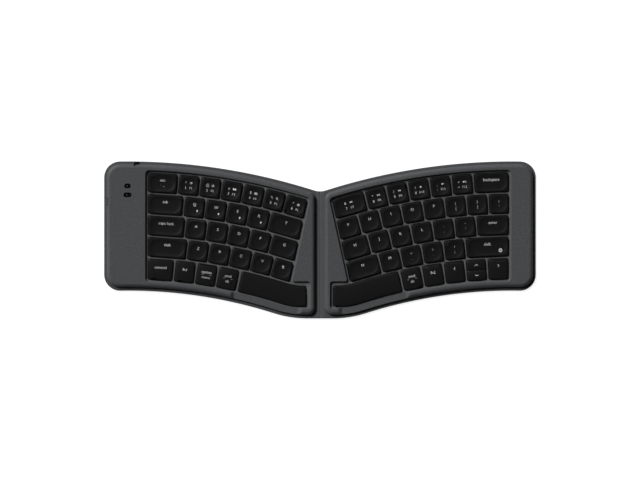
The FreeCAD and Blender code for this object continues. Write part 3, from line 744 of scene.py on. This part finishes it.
def notch_floor_at(x):
    edge_y = ROW_CENTRE[1] + math.sqrt(BACK_EDGE_R**2 - (ROW_CENTRE[0] - NOTCH_INNER_X) ** 2)
    share = (x - NOTCH_INNER_X) / NOTCH_WIDTH
    return edge_y - NOTCH_DEPTH + (NOTCH_DEPTH - NOTCH_INNER_DEPTH) * (1 - share)


def pocket_path():
    """The hollow under the left side panel, with a tongue behind the power switch."""
    tongue_x = 2 * (NOTCH_INNER_X + NOTCH_WIDTH / 2) - POCKET_INNER_X
    tongue_y = notch_floor_at(NOTCH_INNER_X + NOTCH_WIDTH) - POCKET_WALL
    prims = [
        line(0, POCKET_FRONT_Y, 1, 0),
        line(POCKET_OUTER_X, 0, 0, 1),
        line(0, POCKET_BACK_Y, -1, 0),
        line(tongue_x, 0, 0, 1),
        line(0, tongue_y, -1, 0),
        line(POCKET_INNER_X, 0, 0, -1),
    ]
    turns = (1, 1, -1, 1, 1, 1)
    return path(prims, [(t * POCKET_CORNER_R, ANYWHERE) for t in turns], LONG_STEP)


def upper_shell(side):
    """Rim with its rounded edge, sunk key field and webs, open below."""
    shape = Shape()
    outline = body_path()
    rings = [shape.ring(outline, 0, BASE_Z)]
    for c, s in quarter(0, 12, 22, 30, 35, 39, 44, 51, 60, 70, 80, 90):
        z = RIM_Z - BODY_EDGE_R + BODY_EDGE_R * s
        rings.append(shape.cut_ring(outline, BODY_EDGE_R * (1 - c), z))
    rings.append(shape.cut_ring(outline, BODY_EDGE_R + FLAT_LAP, RIM_Z))
    shape.stack(rings)

    # Edge and wall of the sunk field
    well = well_path(side, 0)
    front = smooth_step((well[:, 3] - FRONT_WALL_SHARE) / FRONT_WALL_BLEND)
    reach = EDGE_REACH + (FRONT_EDGE_REACH - EDGE_REACH) * front
    drop = EDGE_DROP + (FRONT_EDGE_DROP - EDGE_DROP) * front
    walls = [shape.cut_ring(well, -reach - FLAT_LAP, RIM_Z)]
    for c, s in quarter(0, 12, 24, 36, 48, 60, 70, 80, 90):
        walls.append(shape.cut_ring(well, -reach * (1 - s), RIM_Z - drop * (1 - c)))
    for c, s in quarter(0, 30, 60, 90):
        walls.append(shape.cut_ring(well, FOOT_R * (1 - c), WEB_Z + FOOT_R * (1 - s)))
    shape.stack(walls)

    # Top of the rim
    holes = [walls[0]]
    lens_rings = []
    if side == "left":
        heights = ((-LENS_BEVEL, RIM_Z), (0, RIM_Z - LENS_BEVEL), (0, ROOF_Z))
        for y, length, width in LENSES:
            rows = pill_path(LENS_X, y, length, width)
            lens = [shape.ring(rows, inset, z) for inset, z in heights]
            shape.stack(lens)
            holes.append(lens[0])
            lens_rings.append(lens[-1])
    shape.plate(rings[-1], holes)

    # Webs with their windows, in the second material, a lighter copy of the shell's that is
    # painted light on the webs between the caps
    tops, bottoms = [], []
    heights = ((-WINDOW_BEVEL, WEB_Z), (-WINDOW_BEVEL_MIDDLE, WEB_Z - WINDOW_BEVEL_MIDDLE),
               (0, WEB_Z - WINDOW_BEVEL), (0, CAVITY_Z))
    for cell in cells_of(side):
        rows = cell.edge(0, WINDOW_CORNER_R)
        window = [shape.ring(rows, inset, z) for inset, z in heights]
        shape.stack(window)
        tops.append(window[0])
        bottoms.append(window[-1])
    shape.kind = 1
    shape.plate(walls[-1], tops)
    shape.kind = 0

    # The hollow under the keys, and pockets seen only from below
    mouths = [shape.hollow(well_path(side, CAVITY_MARGIN), CAVITY_Z, bottoms)]
    half_x, half_y = MAGNET_HALF
    for y in MAGNET_YS:
        rows = box_path(MAGNET_X - half_x, MAGNET_X + half_x, y - half_y, y + half_y,
                        MAGNET_CORNER_R)
        mouths.append(shape.hollow(rows, RIM_Z - MAGNET_ROOF))
    if side == "left":
        mouths.append(shape.hollow(pocket_path(), ROOF_Z, lens_rings))
    shape.plate(rings[0], mouths, up=False)
    piece = shape.object("shell_" + side, side == "left")
    for material in ("shell", "web"):
        piece.data.materials.append(MATERIALS[material])
    return piece


def cutter(rows, z0, z1, mirror):
    shape = Shape()
    shape.block(rows, z0, z1)
    return shape.object("cutter", mirror)


def subtract(piece, tool):
    """Takes a tool's shape out of a piece and removes the tool."""
    modifier = piece.modifiers.new("cut", "BOOLEAN")
    modifier.operation = "DIFFERENCE"
    modifier.solver = "EXACT"
    modifier.object = tool
    result = evaluated(piece)
    piece.modifiers.clear()
    piece.data = result
    bpy.data.objects.remove(tool)
    finish_mesh(result, SHELL_SMOOTH)


def cut_left_shell(shell):
    """Notch of the power switch and mouth of the charging socket. The tools reach past
    the shell's faces."""
    x0, x1 = NOTCH_INNER_X, NOTCH_INNER_X + NOTCH_WIDTH
    y0, y1 = notch_floor_at(x0), notch_floor_at(x1)
    behind_y = 90
    prims = [line(x1, y1, 0, 1), line(x1, behind_y, -1, 0), line(x0, behind_y, 0, -1),
             line(x0, y0, x1 - x0, y1 - y0)]
    rows = path(prims, [(NOTCH_CORNER_R, ANYWHERE)] * 4, LONG_STEP)
    subtract(shell, cutter(rows, BASE_Z - 0.3, RIM_Z + 1, True))

    # The mouth is drawn flat, y and z as x and y, and then turned
    mouth = pill_path(SOCKET_Y, BASE_Z + SOCKET_H / 2, SOCKET_WIDTH, SOCKET_H)
    tool = cutter(mouth, POCKET_OUTER_X - 1, BODY_OUTER_X + 2, False)
    for point in tool.data.vertices:
        y, z, x = point.co
        point.co = (-x, y, z)
    tool.data.flip_normals()
    subtract(shell, tool)


# Keycaps


class Cap:
    """One keycap in its cell or in a part of the cell's depth."""

    def __init__(self, cell, node, part=(0, 1)):
        self.cell, self.node, self.part = cell, node, part
        a, b = cell.angles(WEB_WIDTH / 2 + KEY_GAP)
        angle = (a + b) / 2
        self.middle = arc_point(cell.front_r + (part[0] + part[1]) / 2 * cell.depth, angle)
        self.along = towards_fold(angle)
        self.back = outward(angle)
        self.half_u = abs(b - a) * cell.radius / 2
        self.half_v = (part[1] - part[0]) * cell.depth / 2 - KEY_GAP
        # The dish is a rounded square, stretched along the row on wide caps
        self.reach = self.half_v - DISH_MARGIN
        self.stretch = max(self.half_u - self.half_v, 0)

    def at(self, u, v):
        """Points of the plan, u towards the fold and v to the back of the cap's middle."""
        return self.middle + np.outer(u, self.along) + np.outer(v, self.back)

    def height(self, plan):
        """Height of the upper face at points of the plan."""
        cell, half_v = self.cell, self.half_v
        offset = plan - self.middle
        u, v = offset @ self.along, offset @ self.back
        if cell.row == FRONT_ROW:
            if cell.is_space:
                u = 0
                radial = np.hypot(*(plan - ROW_CENTRE).T)
                v = np.clip(radial - (cell.front_r + cell.back_r) / 2, -half_v, half_v)
            return KEY_TOP_Z - CROWN * ((v / half_v) ** 2 + (u / self.half_u) ** 2)
        past = np.maximum(np.abs(u) - self.stretch, 0)
        power = DISH_SQUARENESS
        share = (past**power + np.abs(v) ** power) ** (1 / power) / self.reach
        return KEY_TOP_Z - DISH_DEPTH * (1 - np.minimum(share, 1) ** 4)

    def dish_rings(self):
        """Rings of points from just outside the dish to its middle."""
        reach, stretch = self.reach, self.stretch
        count = 2 + int(stretch / DISH_RUN_STEP)
        run = np.linspace(-stretch, stretch, count)[1:-1] if stretch > DISH_RUN_MIN else []
        turns = (np.arange(DISH_STEPS) + 0.5) * math.pi / DISH_STEPS - math.pi / 2
        power = 2 / DISH_SQUARENESS
        c, s = np.cos(turns) ** power, np.sign(turns) * np.abs(np.sin(turns)) ** power
        ends = np.ones(len(run))
        for q in DISH_RINGS:
            u = np.concatenate([stretch + reach * q * c, -stretch - reach * q * c, run, run])
            v = reach * q * np.concatenate([s, s, -ends, ends])
            yield self.at(u, v)
        yield self.at(np.append(run, 0), 0)

    def build(self, shape):
        rows = self.cell.edge(KEY_GAP, KEY_CORNER_R, self.part)
        rings = [shape.ring(rows, 0, KEY_BOTTOM_Z)]
        for c, s in quarter(0, 22, 45, 67, 90):
            inset = CAP_EDGE_R * (1 - c)
            top = self.height(moved_in(rows, inset))
            rings.append(shape.ring(rows, inset, top - CAP_EDGE_R * (1 - s)))
        shape.stack(rings)
        if self.cell.row == FRONT_ROW:
            low, high = rows[:, :2].min(0), rows[:, :2].max(0)
            xs, ys = (np.arange(low[i], high[i], CROWN_GRID) for i in (0, 1))
            plans = [np.array([(x, y) for x in xs for y in ys])]
            margin = CROWN_MARGIN
        else:
            plans = self.dish_rings()
            margin = CAP_EDGE_R + FLAT_LAP
        spots = []
        for plan in plans:
            plan = plan[inside(plan, moved_in(rows, margin))]
            spots += shape.spots(plan, self.height(plan))
        shape.plate(rings[-1], spots=spots)
        shape.plate(rings[0], up=False)


def caps_of(side):
    """Every cap of a half. The two short arrow keys share a cell."""
    for cell in cells_of(side):
        if cell.node == "arrow_pair":
            split = KEY_GAP / cell.depth
            yield Cap(cell, "key_arrow_up", (0.5 - split, 1))
            yield Cap(cell, "key_arrow_down", (0, 0.5 + split))
        else:
            yield Cap(cell, cell.node)


def half_caps(side):
    """One mesh for each key node of a half."""
    shapes = {}
    for cap in caps_of(side):
        cap.build(shapes.setdefault(cap.node, Shape()))
    for node, shape in shapes.items():
        piece = shape.object("cap_" + node, side == "left", SOFT_SMOOTH)
        wear(piece, "keycap")
        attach(piece, node)
        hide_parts(node)


# Cover: one flexible sheet, drawn as two mirrored halves that meet at the middle


def cover_half(side):
    shape = Shape()
    rows = cover_path()
    rows[0, 2:] = (0, 1)
    rows[-1, 2:] = (0, -1)
    r = COVER_EDGE_R
    profile = [(r, COVER_Z)]
    profile += [(r * (1 - s), COVER_Z + r * (1 - c)) for c, s in quarter(30, 60, 90)]
    profile += [(r * (1 - c), BASE_Z - r * (1 - s)) for c, s in quarter(0, 30, 60, 90)]
    rings = [shape.ring(rows, inset, z) for inset, z in profile]
    shape.stack(rings, closed=False)
    spots = np.array([(x, y) for x in SHEET_XS for y in SHEET_YS])
    for ring, z, up in ((rings[0], COVER_Z, False), (rings[-1], BASE_Z, True)):
        shape.plate(ring, spots=shape.spots(spots, z), up=up)
    piece = shape.object("cover_" + side + "_sheet", side == "left", SOFT_SMOOTH)
    rework(piece.data, fill_holes)
    if side == "left":
        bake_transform(piece)
        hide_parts("cover_left", "cover_spine")
    else:
        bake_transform(piece)
        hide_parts("cover_right")
    return piece


# Legends, laid on the caps: texts, and signs made of polygons

TEXTS = {}


def text_plan(text, size):
    """Points and faces of a text about its middle, made once for each text and size."""
    if (text, size) not in TEXTS:
        curve = bpy.data.curves.new("text", "FONT")
        curve.body = text
        curve.size = size
        curve.align_x = curve.align_y = "CENTER"
        curve.resolution_u = TEXT_STEPS
        curve.offset = TEXT_THINNER
        holder = placed("text", curve)
        mesh = evaluated(holder)
        plan = np.array([v.co[:2] for v in mesh.vertices]).reshape(-1, 2)
        TEXTS[text, size] = plan, [tuple(p.vertices) for p in mesh.polygons]
        bpy.data.objects.remove(holder)
        bpy.data.curves.remove(curve)
        bpy.data.meshes.remove(mesh)
    return TEXTS[text, size]


def bar(x0, y0, x1, y1):
    return [np.array([(x0, y0), (x1, y0), (x1, y1), (x0, y1)])]


def disc(x, y, r, sides=12):
    turns = np.arange(sides) * 2 * math.pi / sides
    return [np.array([x, y]) + r * np.stack([np.cos(turns), np.sin(turns)], 1)]


def ring_bars(x, y, r, width, sides=14):
    out = []
    for k in range(sides):
        a0, a1 = (2 * math.pi * t / sides for t in (k, k + 1))
        out.append(np.array([(x + q * math.cos(a), y + q * math.sin(a))
                             for q, a in ((r, a0), (r, a1), (r - width, a1), (r - width, a0))]))
    return out


def lamp(r, width, reach):
    """A ring in a circle of eight dots."""
    turns = [k * math.pi / 4 for k in range(8)]
    dots = [p for a in turns for p in disc(reach * math.cos(a), reach * math.sin(a), 0.14, 6)]
    return ring_bars(0, 0, r, width) + dots


def triangle(x, y, r, turn=0.0):
    return [np.array([(x + r * math.cos(a), y + r * math.sin(a))
                      for a in (turn, turn + 2.094, turn + 4.189)])]


def stroke(points, width):
    out = []
    for a, b in zip(points, points[1:]):
        a, b = np.array(a, float), np.array(b, float)
        side = left_of(unit(b - a)) * width / 2
        out.append(np.array([a - side, b - side, b + side, a + side]))
    return out


# Small plain signs over the F numbers, in millimetres about their middle
HORN = bar(-1.1, -0.35, -0.6, 0.35) + triangle(-0.35, 0, 0.95, math.pi)
SIGNS = {
    "1": lamp(0.7, 0.3, 1.25),
    "2": lamp(0.85, 0.25, 1.35),
    "3": bar(-1.4, -0.8, -0.5, 0.8) + bar(-0.2, 0.1, 1.4, 0.8) + bar(-0.2, -0.8, 1.4, -0.2),
    "4": [p for r in (-0.7, 0, 0.7) for c in (-1.05, -0.35, 0.35, 1.05)
          for p in bar(c - 0.25, r - 0.22, c + 0.25, r + 0.22)],
    "5": ring_bars(-0.2, 0.25, 0.85, 0.26) + stroke([(0.4, -0.4), (1.1, -1.1)], 0.32),
    "6": stroke([(-0.8, -1.0), (0.8, -1.0), (0.8, 0.1), (-0.8, 0.1), (-0.8, -1.0)], 0.24)
    + ring_bars(0, 0.3, 0.65, 0.24),
    "7": triangle(-0.6, 0, 0.8, math.pi) + triangle(0.7, 0, 0.8, math.pi),
    "8": triangle(-0.6, 0, 0.85) + bar(0.5, -0.7, 0.8, 0.7) + bar(1.1, -0.7, 1.4, 0.7),
    "9": triangle(-0.7, 0, 0.8) + triangle(0.6, 0, 0.8),
    "0": HORN,
    "-": HORN + stroke([(0.95, -0.5), (1.15, 0), (0.95, 0.5)], 0.24),
    "=": bar(-1.3, -0.35, -0.8, 0.35) + triangle(-0.55, 0, 0.95, math.pi)
    + stroke([(0.7, -0.5), (0.9, 0), (0.7, 0.5)], 0.24)
    + stroke([(1.25, -0.85), (1.55, 0), (1.25, 0.85)], 0.24),
}
UPPER = dict(zip("1234567890-=", "!@#$%^&*()_+"))
UPPER.update({"[": "{", "]": "}", "\\": "|", ";": ":", "'": '"', ",": "<", ".": ">", "/": "?"})
F_NUMBERS = dict(zip("1234567890-=", ("F%d" % n for n in range(1, 13))))
UP_OR_DOWN = {"key_arrow_up": 1, "key_arrow_down": -1}


def items_of(cap):
    """What is printed on a cap: (text, size, x, y) or (polygons, None, x, y)."""
    cell, label = cap.cell, cap.cell.label
    if cap.node in UP_OR_DOWN:
        t = UP_OR_DOWN[cap.node]
        return [(stroke([(-1.5, -0.5 * t), (0, 0.6 * t), (1.5, -0.5 * t)], 0.32), None, 0, 0)]
    if not label:
        return []
    if label in F_NUMBERS:
        near, far = NUMBER_XS[cell.side]
        return [
            (UPPER[label], 3.2, near, 2.2),
            (label, 3.3, near, -2.6),
            (SIGNS[label], None, far, 2.2),
            (F_NUMBERS[label], 3.0, far, -2.6),
        ]
    if label in UPPER:
        return [(UPPER[label], 3.0, 0, 2.6), (label, 3.0, 0, -2.0)]
    if "/" in label:
        upper, lower = label.split("/")
        return [
            (upper, 3.6, 0, 2.5),
            (bar(-4.2, -0.09, 4.2, 0.09), None, 0, 0.1),
            (lower, 3.4, 0, -2.2),
        ]
    if label in "<>":
        t = 1 if label == ">" else -1
        points = [(-0.55 * t, -1.15), (0.6 * t, 0), (-0.55 * t, 1.15)]
        return [(stroke(points, 0.3), None, 0, 3.2)]
    if len(label) == 1:
        items = [(label, 3.6, 0, 2.5)]
        if label in "QWER":
            items.append((disc(0, 0, 0.6) + bar(-0.3, -1.2, 0.3, 0), None, 2.9, -2.5))
        return items
    items = [(label, 3.7, 0, 2.6 if cell.row != FRONT_ROW else 2.2)]
    if label == "esc":
        items.append(("`  ~", 3.0, 0, -2.6))
    if cell.node == "key_shift_right":
        sign = ring_bars(0, 0, 1.6, 0.5) + disc(0, 0, 0.3)
        items.append((sign, None, cap.half_u * 0.62, -3.3))
    return items


def legends(side):
    """One flat mesh of print for each key node of a half."""
    sign = -1 if side == "left" else 1
    prints = {}
    for cap in caps_of(side):
        for what, size, x, y in items_of(cap):
            if size is None:
                pieces = [(poly, [tuple(range(len(poly)))]) for poly in what]
            else:
                pieces = [text_plan(what, size)]
            for plan, polys in pieces:
                # x and y run to the reader's right and to the back on both halves
                flat = cap.at(-sign * (plan[:, 0] + x), plan[:, 1] + y)
                points, faces = prints.setdefault(cap.node, ([], []))
                faces.extend(tuple(len(points) + i for i in poly) for poly in polys)
                points.extend((px * sign * MM, py * MM, z * MM) for (px, py), z in
                              zip(flat, cap.height(flat) + LEGEND_LIFT))
    for node, (points, faces) in prints.items():
        mesh = bpy.data.meshes.new("legend_" + node)
        mesh.from_pydata(points, [], faces)
        rework(mesh, face_up)
        piece = placed("legend_" + node, mesh)
        wear(piece, "legend")
        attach(piece, node)


# Materials


def linear(value):
    """An sRGB value from 0 to 255 as a linear share."""
    share = value / 255
    return ((share + 0.055) / 1.055) ** 2.4 if share > 0.04045 else share / 12.92


def colour(value):
    """A shader's colour from three sRGB values, or from one for a grey."""
    return (*map(linear, value if isinstance(value, tuple) else (value,) * 3), 1)


def set_inputs(tree, node, inputs):
    """Links an input where its value is another node's output, and sets it elsewhere."""
    for name, value in inputs.items():
        if isinstance(value, bpy.types.NodeSocket):
            tree.links.new(value, node.inputs[name])
        else:
            node.inputs[name].default_value = value


def add(tree, kind, inputs=None, **settings):
    node = tree.nodes.new(kind)
    for name, value in settings.items():
        setattr(node, name, value)
    set_inputs(tree, node, inputs or {})
    return node


def textured(name, dark, light, roughness, layers, specular=0.5, metallic=0.0, spread=0.12):
    """A surface whose colour, between two sRGB values, and roughness vary with noise. It
    has a bump for each layer: (kind, size in millimetres, depth in millimetres)."""
    dark, light = colour(dark), colour(light)
    material = bpy.data.materials.new(name)
    material.use_nodes = True
    tree = material.node_tree
    shader = tree.nodes["Principled BSDF"]
    set_inputs(tree, shader, {"Base Color": light, "Roughness": roughness,
                              "Metallic": metallic, "Specular IOR Level": specular})
    place = add(tree, "ShaderNodeTexCoord").outputs["Object"]
    cloud = add(tree, "ShaderNodeTexNoise", {
        "Vector": place, "Scale": 1000 / layers[0][1], "Detail": 6, "Roughness": 0.6,
    }).outputs["Fac"]
    ramp = add(tree, "ShaderNodeValToRGB", {"Fac": cloud})
    for element, position, tone in zip(ramp.color_ramp.elements, (0.3, 0.7), (dark, light)):
        element.position = position
        element.color = tone
    span = add(tree, "ShaderNodeMapRange", {
        "Value": cloud, "To Min": roughness - spread, "To Max": roughness + spread})
    normal = {}
    for kind, size, depth in layers:
        inputs = {"Vector": place, "Scale": 1000 / size}
        if kind == "cells":
            height = add(tree, "ShaderNodeTexVoronoi", {**inputs, "Smoothness": 0.4},
                         feature="SMOOTH_F1").outputs["Distance"]
        else:
            height = add(tree, "ShaderNodeTexNoise", {**inputs, "Detail": 4}).outputs["Fac"]
        bump = add(tree, "ShaderNodeBump", {"Height": height, "Distance": depth * MM, **normal})
        normal = {"Normal": bump.outputs["Normal"]}
    set_inputs(tree, shader, {"Base Color": ramp.outputs["Color"],
                              "Roughness": span.outputs["Result"], **normal})
    return material


FINE = ("noise", 0.9, 0.05)
CELLS = ("cells", 0.6, 0.08)

# What textured takes, by slot or, for the fold, web and print, by place. The fold's and the
# web's colours are lighter copies of the cover's and the shell's: painted light
MATERIALS = {slot: textured(*values) for slot, values in {
    "shell": ("shell_grain", (54, 55, 57), (78, 79, 81), 0.62,
              [FINE, ("cells", 0.55, 0.1), ("noise", 3.0, 0.1)], 0.2),
    # Webs: the shell's grain made lighter, painted light
    "web": ("web_grain", (66, 67, 67), (90, 91, 90), 0.62, [FINE, ("cells", 0.55, 0.08)], 0.2),
    "cover": ("cover_grain", (52, 53, 55), (70, 71, 73), 0.7, [FINE, CELLS], 0.2),
    # The fold strip: the cover's grain made lighter, painted light where the halves' edges
    # shade it
    "cover_fold": ("fold_grain", (62, 63, 65), (78, 79, 81), 0.65, [FINE, CELLS], 0.2),
    "keycap": ("cap_matt", 13, 20, 0.4,
               [("noise", 0.35, 0.01), ("noise", 2.5, 0.008)], 0.2, 0.0, 0.05),
    "steel": ("sheet_steel", (60, 60, 62), (78, 78, 80), 0.4,
              [("noise", 0.4, 0.004)], 0.5, 1.0),
    "film": ("film", 20, 28, 0.35, [("noise", 1.0, 0.004)]),
    "link": ("moulded_link", 26, 34, 0.5, [("noise", 0.6, 0.006)]),
    "dome": ("silicone", (60, 60, 58), (76, 76, 74), 0.5, [("noise", 0.8, 0.006)]),
    "magnet": ("nickel", (170, 170, 172), (190, 190, 192), 0.25,
               [("noise", 0.8, 0.002)], 0.5, 1.0),
    "board": ("solder_mask", (14, 50, 30), (20, 66, 40), 0.3, [("noise", 0.8, 0.01)]),
    "cell": ("pouch", (150, 150, 152), (176, 176, 178), 0.35, [("noise", 3.0, 0.03)], 0.5, 1.0),
    "socket": ("plated_steel", (150, 150, 152), (175, 175, 178), 0.28,
               [("noise", 0.5, 0.003)], 0.5, 1.0),
    "knob": ("black_knob", 4, 8, 0.45, [("noise", 0.4, 0.006)], 0.15),
    "lens": ("smoked_window", 3, 5, 0.2, [("noise", 2.0, 0.002)], 0.2, 0.0, 0.04),
    "ribbon": ("polyimide", (150, 84, 20), (172, 100, 30), 0.3, [("noise", 1.0, 0.004)]),
    "foot": ("foot_rubber", 24, 34, 0.8, [("noise", 0.5, 0.03)], 0.3),
    "legend": ("legend_ink", 214, 230, 0.6, [("noise", 0.5, 0.002)]),
    "mark": ("mark_ink", 52, 64, 0.5, [("noise", 0.5, 0.002)], 0.2),
}.items()}


def wear(piece, *names):
    piece.data.materials.clear()
    for name in names:
        piece.data.materials.append(MATERIALS[name])


# Build

for side in HALVES:
    piece = upper_shell(side)
    if side == "left":
        cut_left_shell(piece)
    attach(piece, side + "_half")
    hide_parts("upper_shell_" + side)

for side in HALVES:
    half_caps(side)
    legends(side)
    piece = cover_half(side)
    wear(piece, "cover", "cover_fold")
    # Upward faces between the fold lines wear the lighter fold material, painted light on the
    # strip between the halves
    for face in piece.data.polygons:
        face.material_index = int(abs(face.center.x) < FOLD_LINE_X * MM and face.normal.z > 0.5)

SLOT_OF = {s["node"]: s["material_slot"] for s in frame["record"]["subparts"]}
for node, piece in frame["nodes"].items():
    wear(piece, SLOT_OF[node])

marks = Shape()
for x, lens, r in MARKS:
    plan = disc(LENS_X + x, LENSES[lens][0], r, MARK_SIDES)[0]
    marks.block(np.hstack([plan, np.zeros_like(plan)]), *MARK_Z)
piece = marks.object("indicator_marks", True)
wear(piece, "mark")
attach(piece, "left_half")

# A black plate in the switch's notch, painted shade where the notch lies in shade
bed = Shape()
notch_outer_x = NOTCH_INNER_X + NOTCH_WIDTH
bed.block(box_path(NOTCH_INNER_X + SHADE_BED_PLAY, notch_outer_x - SHADE_BED_PLAY,
                   notch_floor_at(notch_outer_x) + SHADE_BED_PLAY,
                   notch_floor_at(NOTCH_INNER_X) + SHADE_BED_BACK, SHADE_BED_PLAY), *SHADE_BED_Z)
piece = bed.object("switch_bed", True)
wear(piece, "knob")
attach(piece, "left_half")

# Floor: it glows white only to the camera and in reflections

bpy.ops.mesh.primitive_plane_add(size=FLOOR_SIZE)
floor = bpy.context.object
floor.name = "floor"
floor_material = bpy.data.materials.new("floor_white")
floor_material.use_nodes = True
tree = floor_material.node_tree
tree.nodes.clear()
rays = add(tree, "ShaderNodeLightPath")
seen = rays.outputs["Is Camera Ray"]
for name in ("Is Glossy Ray", "Is Transmission Ray"):
    either = add(tree, "ShaderNodeMath", {0: seen, 1: rays.outputs[name]}, operation="MAXIMUM")
    seen = either.outputs["Value"]
matt, plain = (add(tree, "ShaderNodeBsdfDiffuse", {"Color": (value, value, value, 1)})
               for value in (FLOOR_GREY, FLOOR_HIDDEN_GREY))
glow = add(tree, "ShaderNodeEmission", {"Color": (1, 1, 1, 1), "Strength": FLOOR_GLOW})
both = add(tree, "ShaderNodeAddShader",
           {0: matt.outputs["BSDF"], 1: glow.outputs["Emission"]})
mix = add(tree, "ShaderNodeMixShader",
          {"Fac": seen, 1: plain.outputs["BSDF"], 2: both.outputs["Shader"]})
add(tree, "ShaderNodeOutputMaterial", {"Surface": mix.outputs["Shader"]})
floor.data.materials.append(floor_material)

# Light and camera

world = bpy.data.worlds.new("studio")
bpy.context.scene.world = world
world.use_nodes = True
set_inputs(world.node_tree, world.node_tree.nodes["Background"],
           {"Color": (1, 1, 1, 1), "Strength": WORLD_STRENGTH})

sun_data = bpy.data.lights.new("softbox", "SUN")
sun_data.energy = SUN_STRENGTH
sun_data.angle = SUN_ANGLE
sun = placed("softbox", sun_data)
sun.rotation_euler = Vector(SUN_DIRECTION).to_track_quat("-Z", "Y").to_euler()

camera_data = bpy.data.cameras.new("camera")
camera_data.sensor_width = SENSOR_WIDTH
camera_data.lens = SENSOR_WIDTH * (CAMERA_PLACE[2] - BASE_Z * MM) / VIEW_WIDTH
camera = placed("camera", camera_data)
camera.location = CAMERA_PLACE
bpy.context.scene.camera = camera
bpy.context.scene.view_settings.view_transform = "Standard"
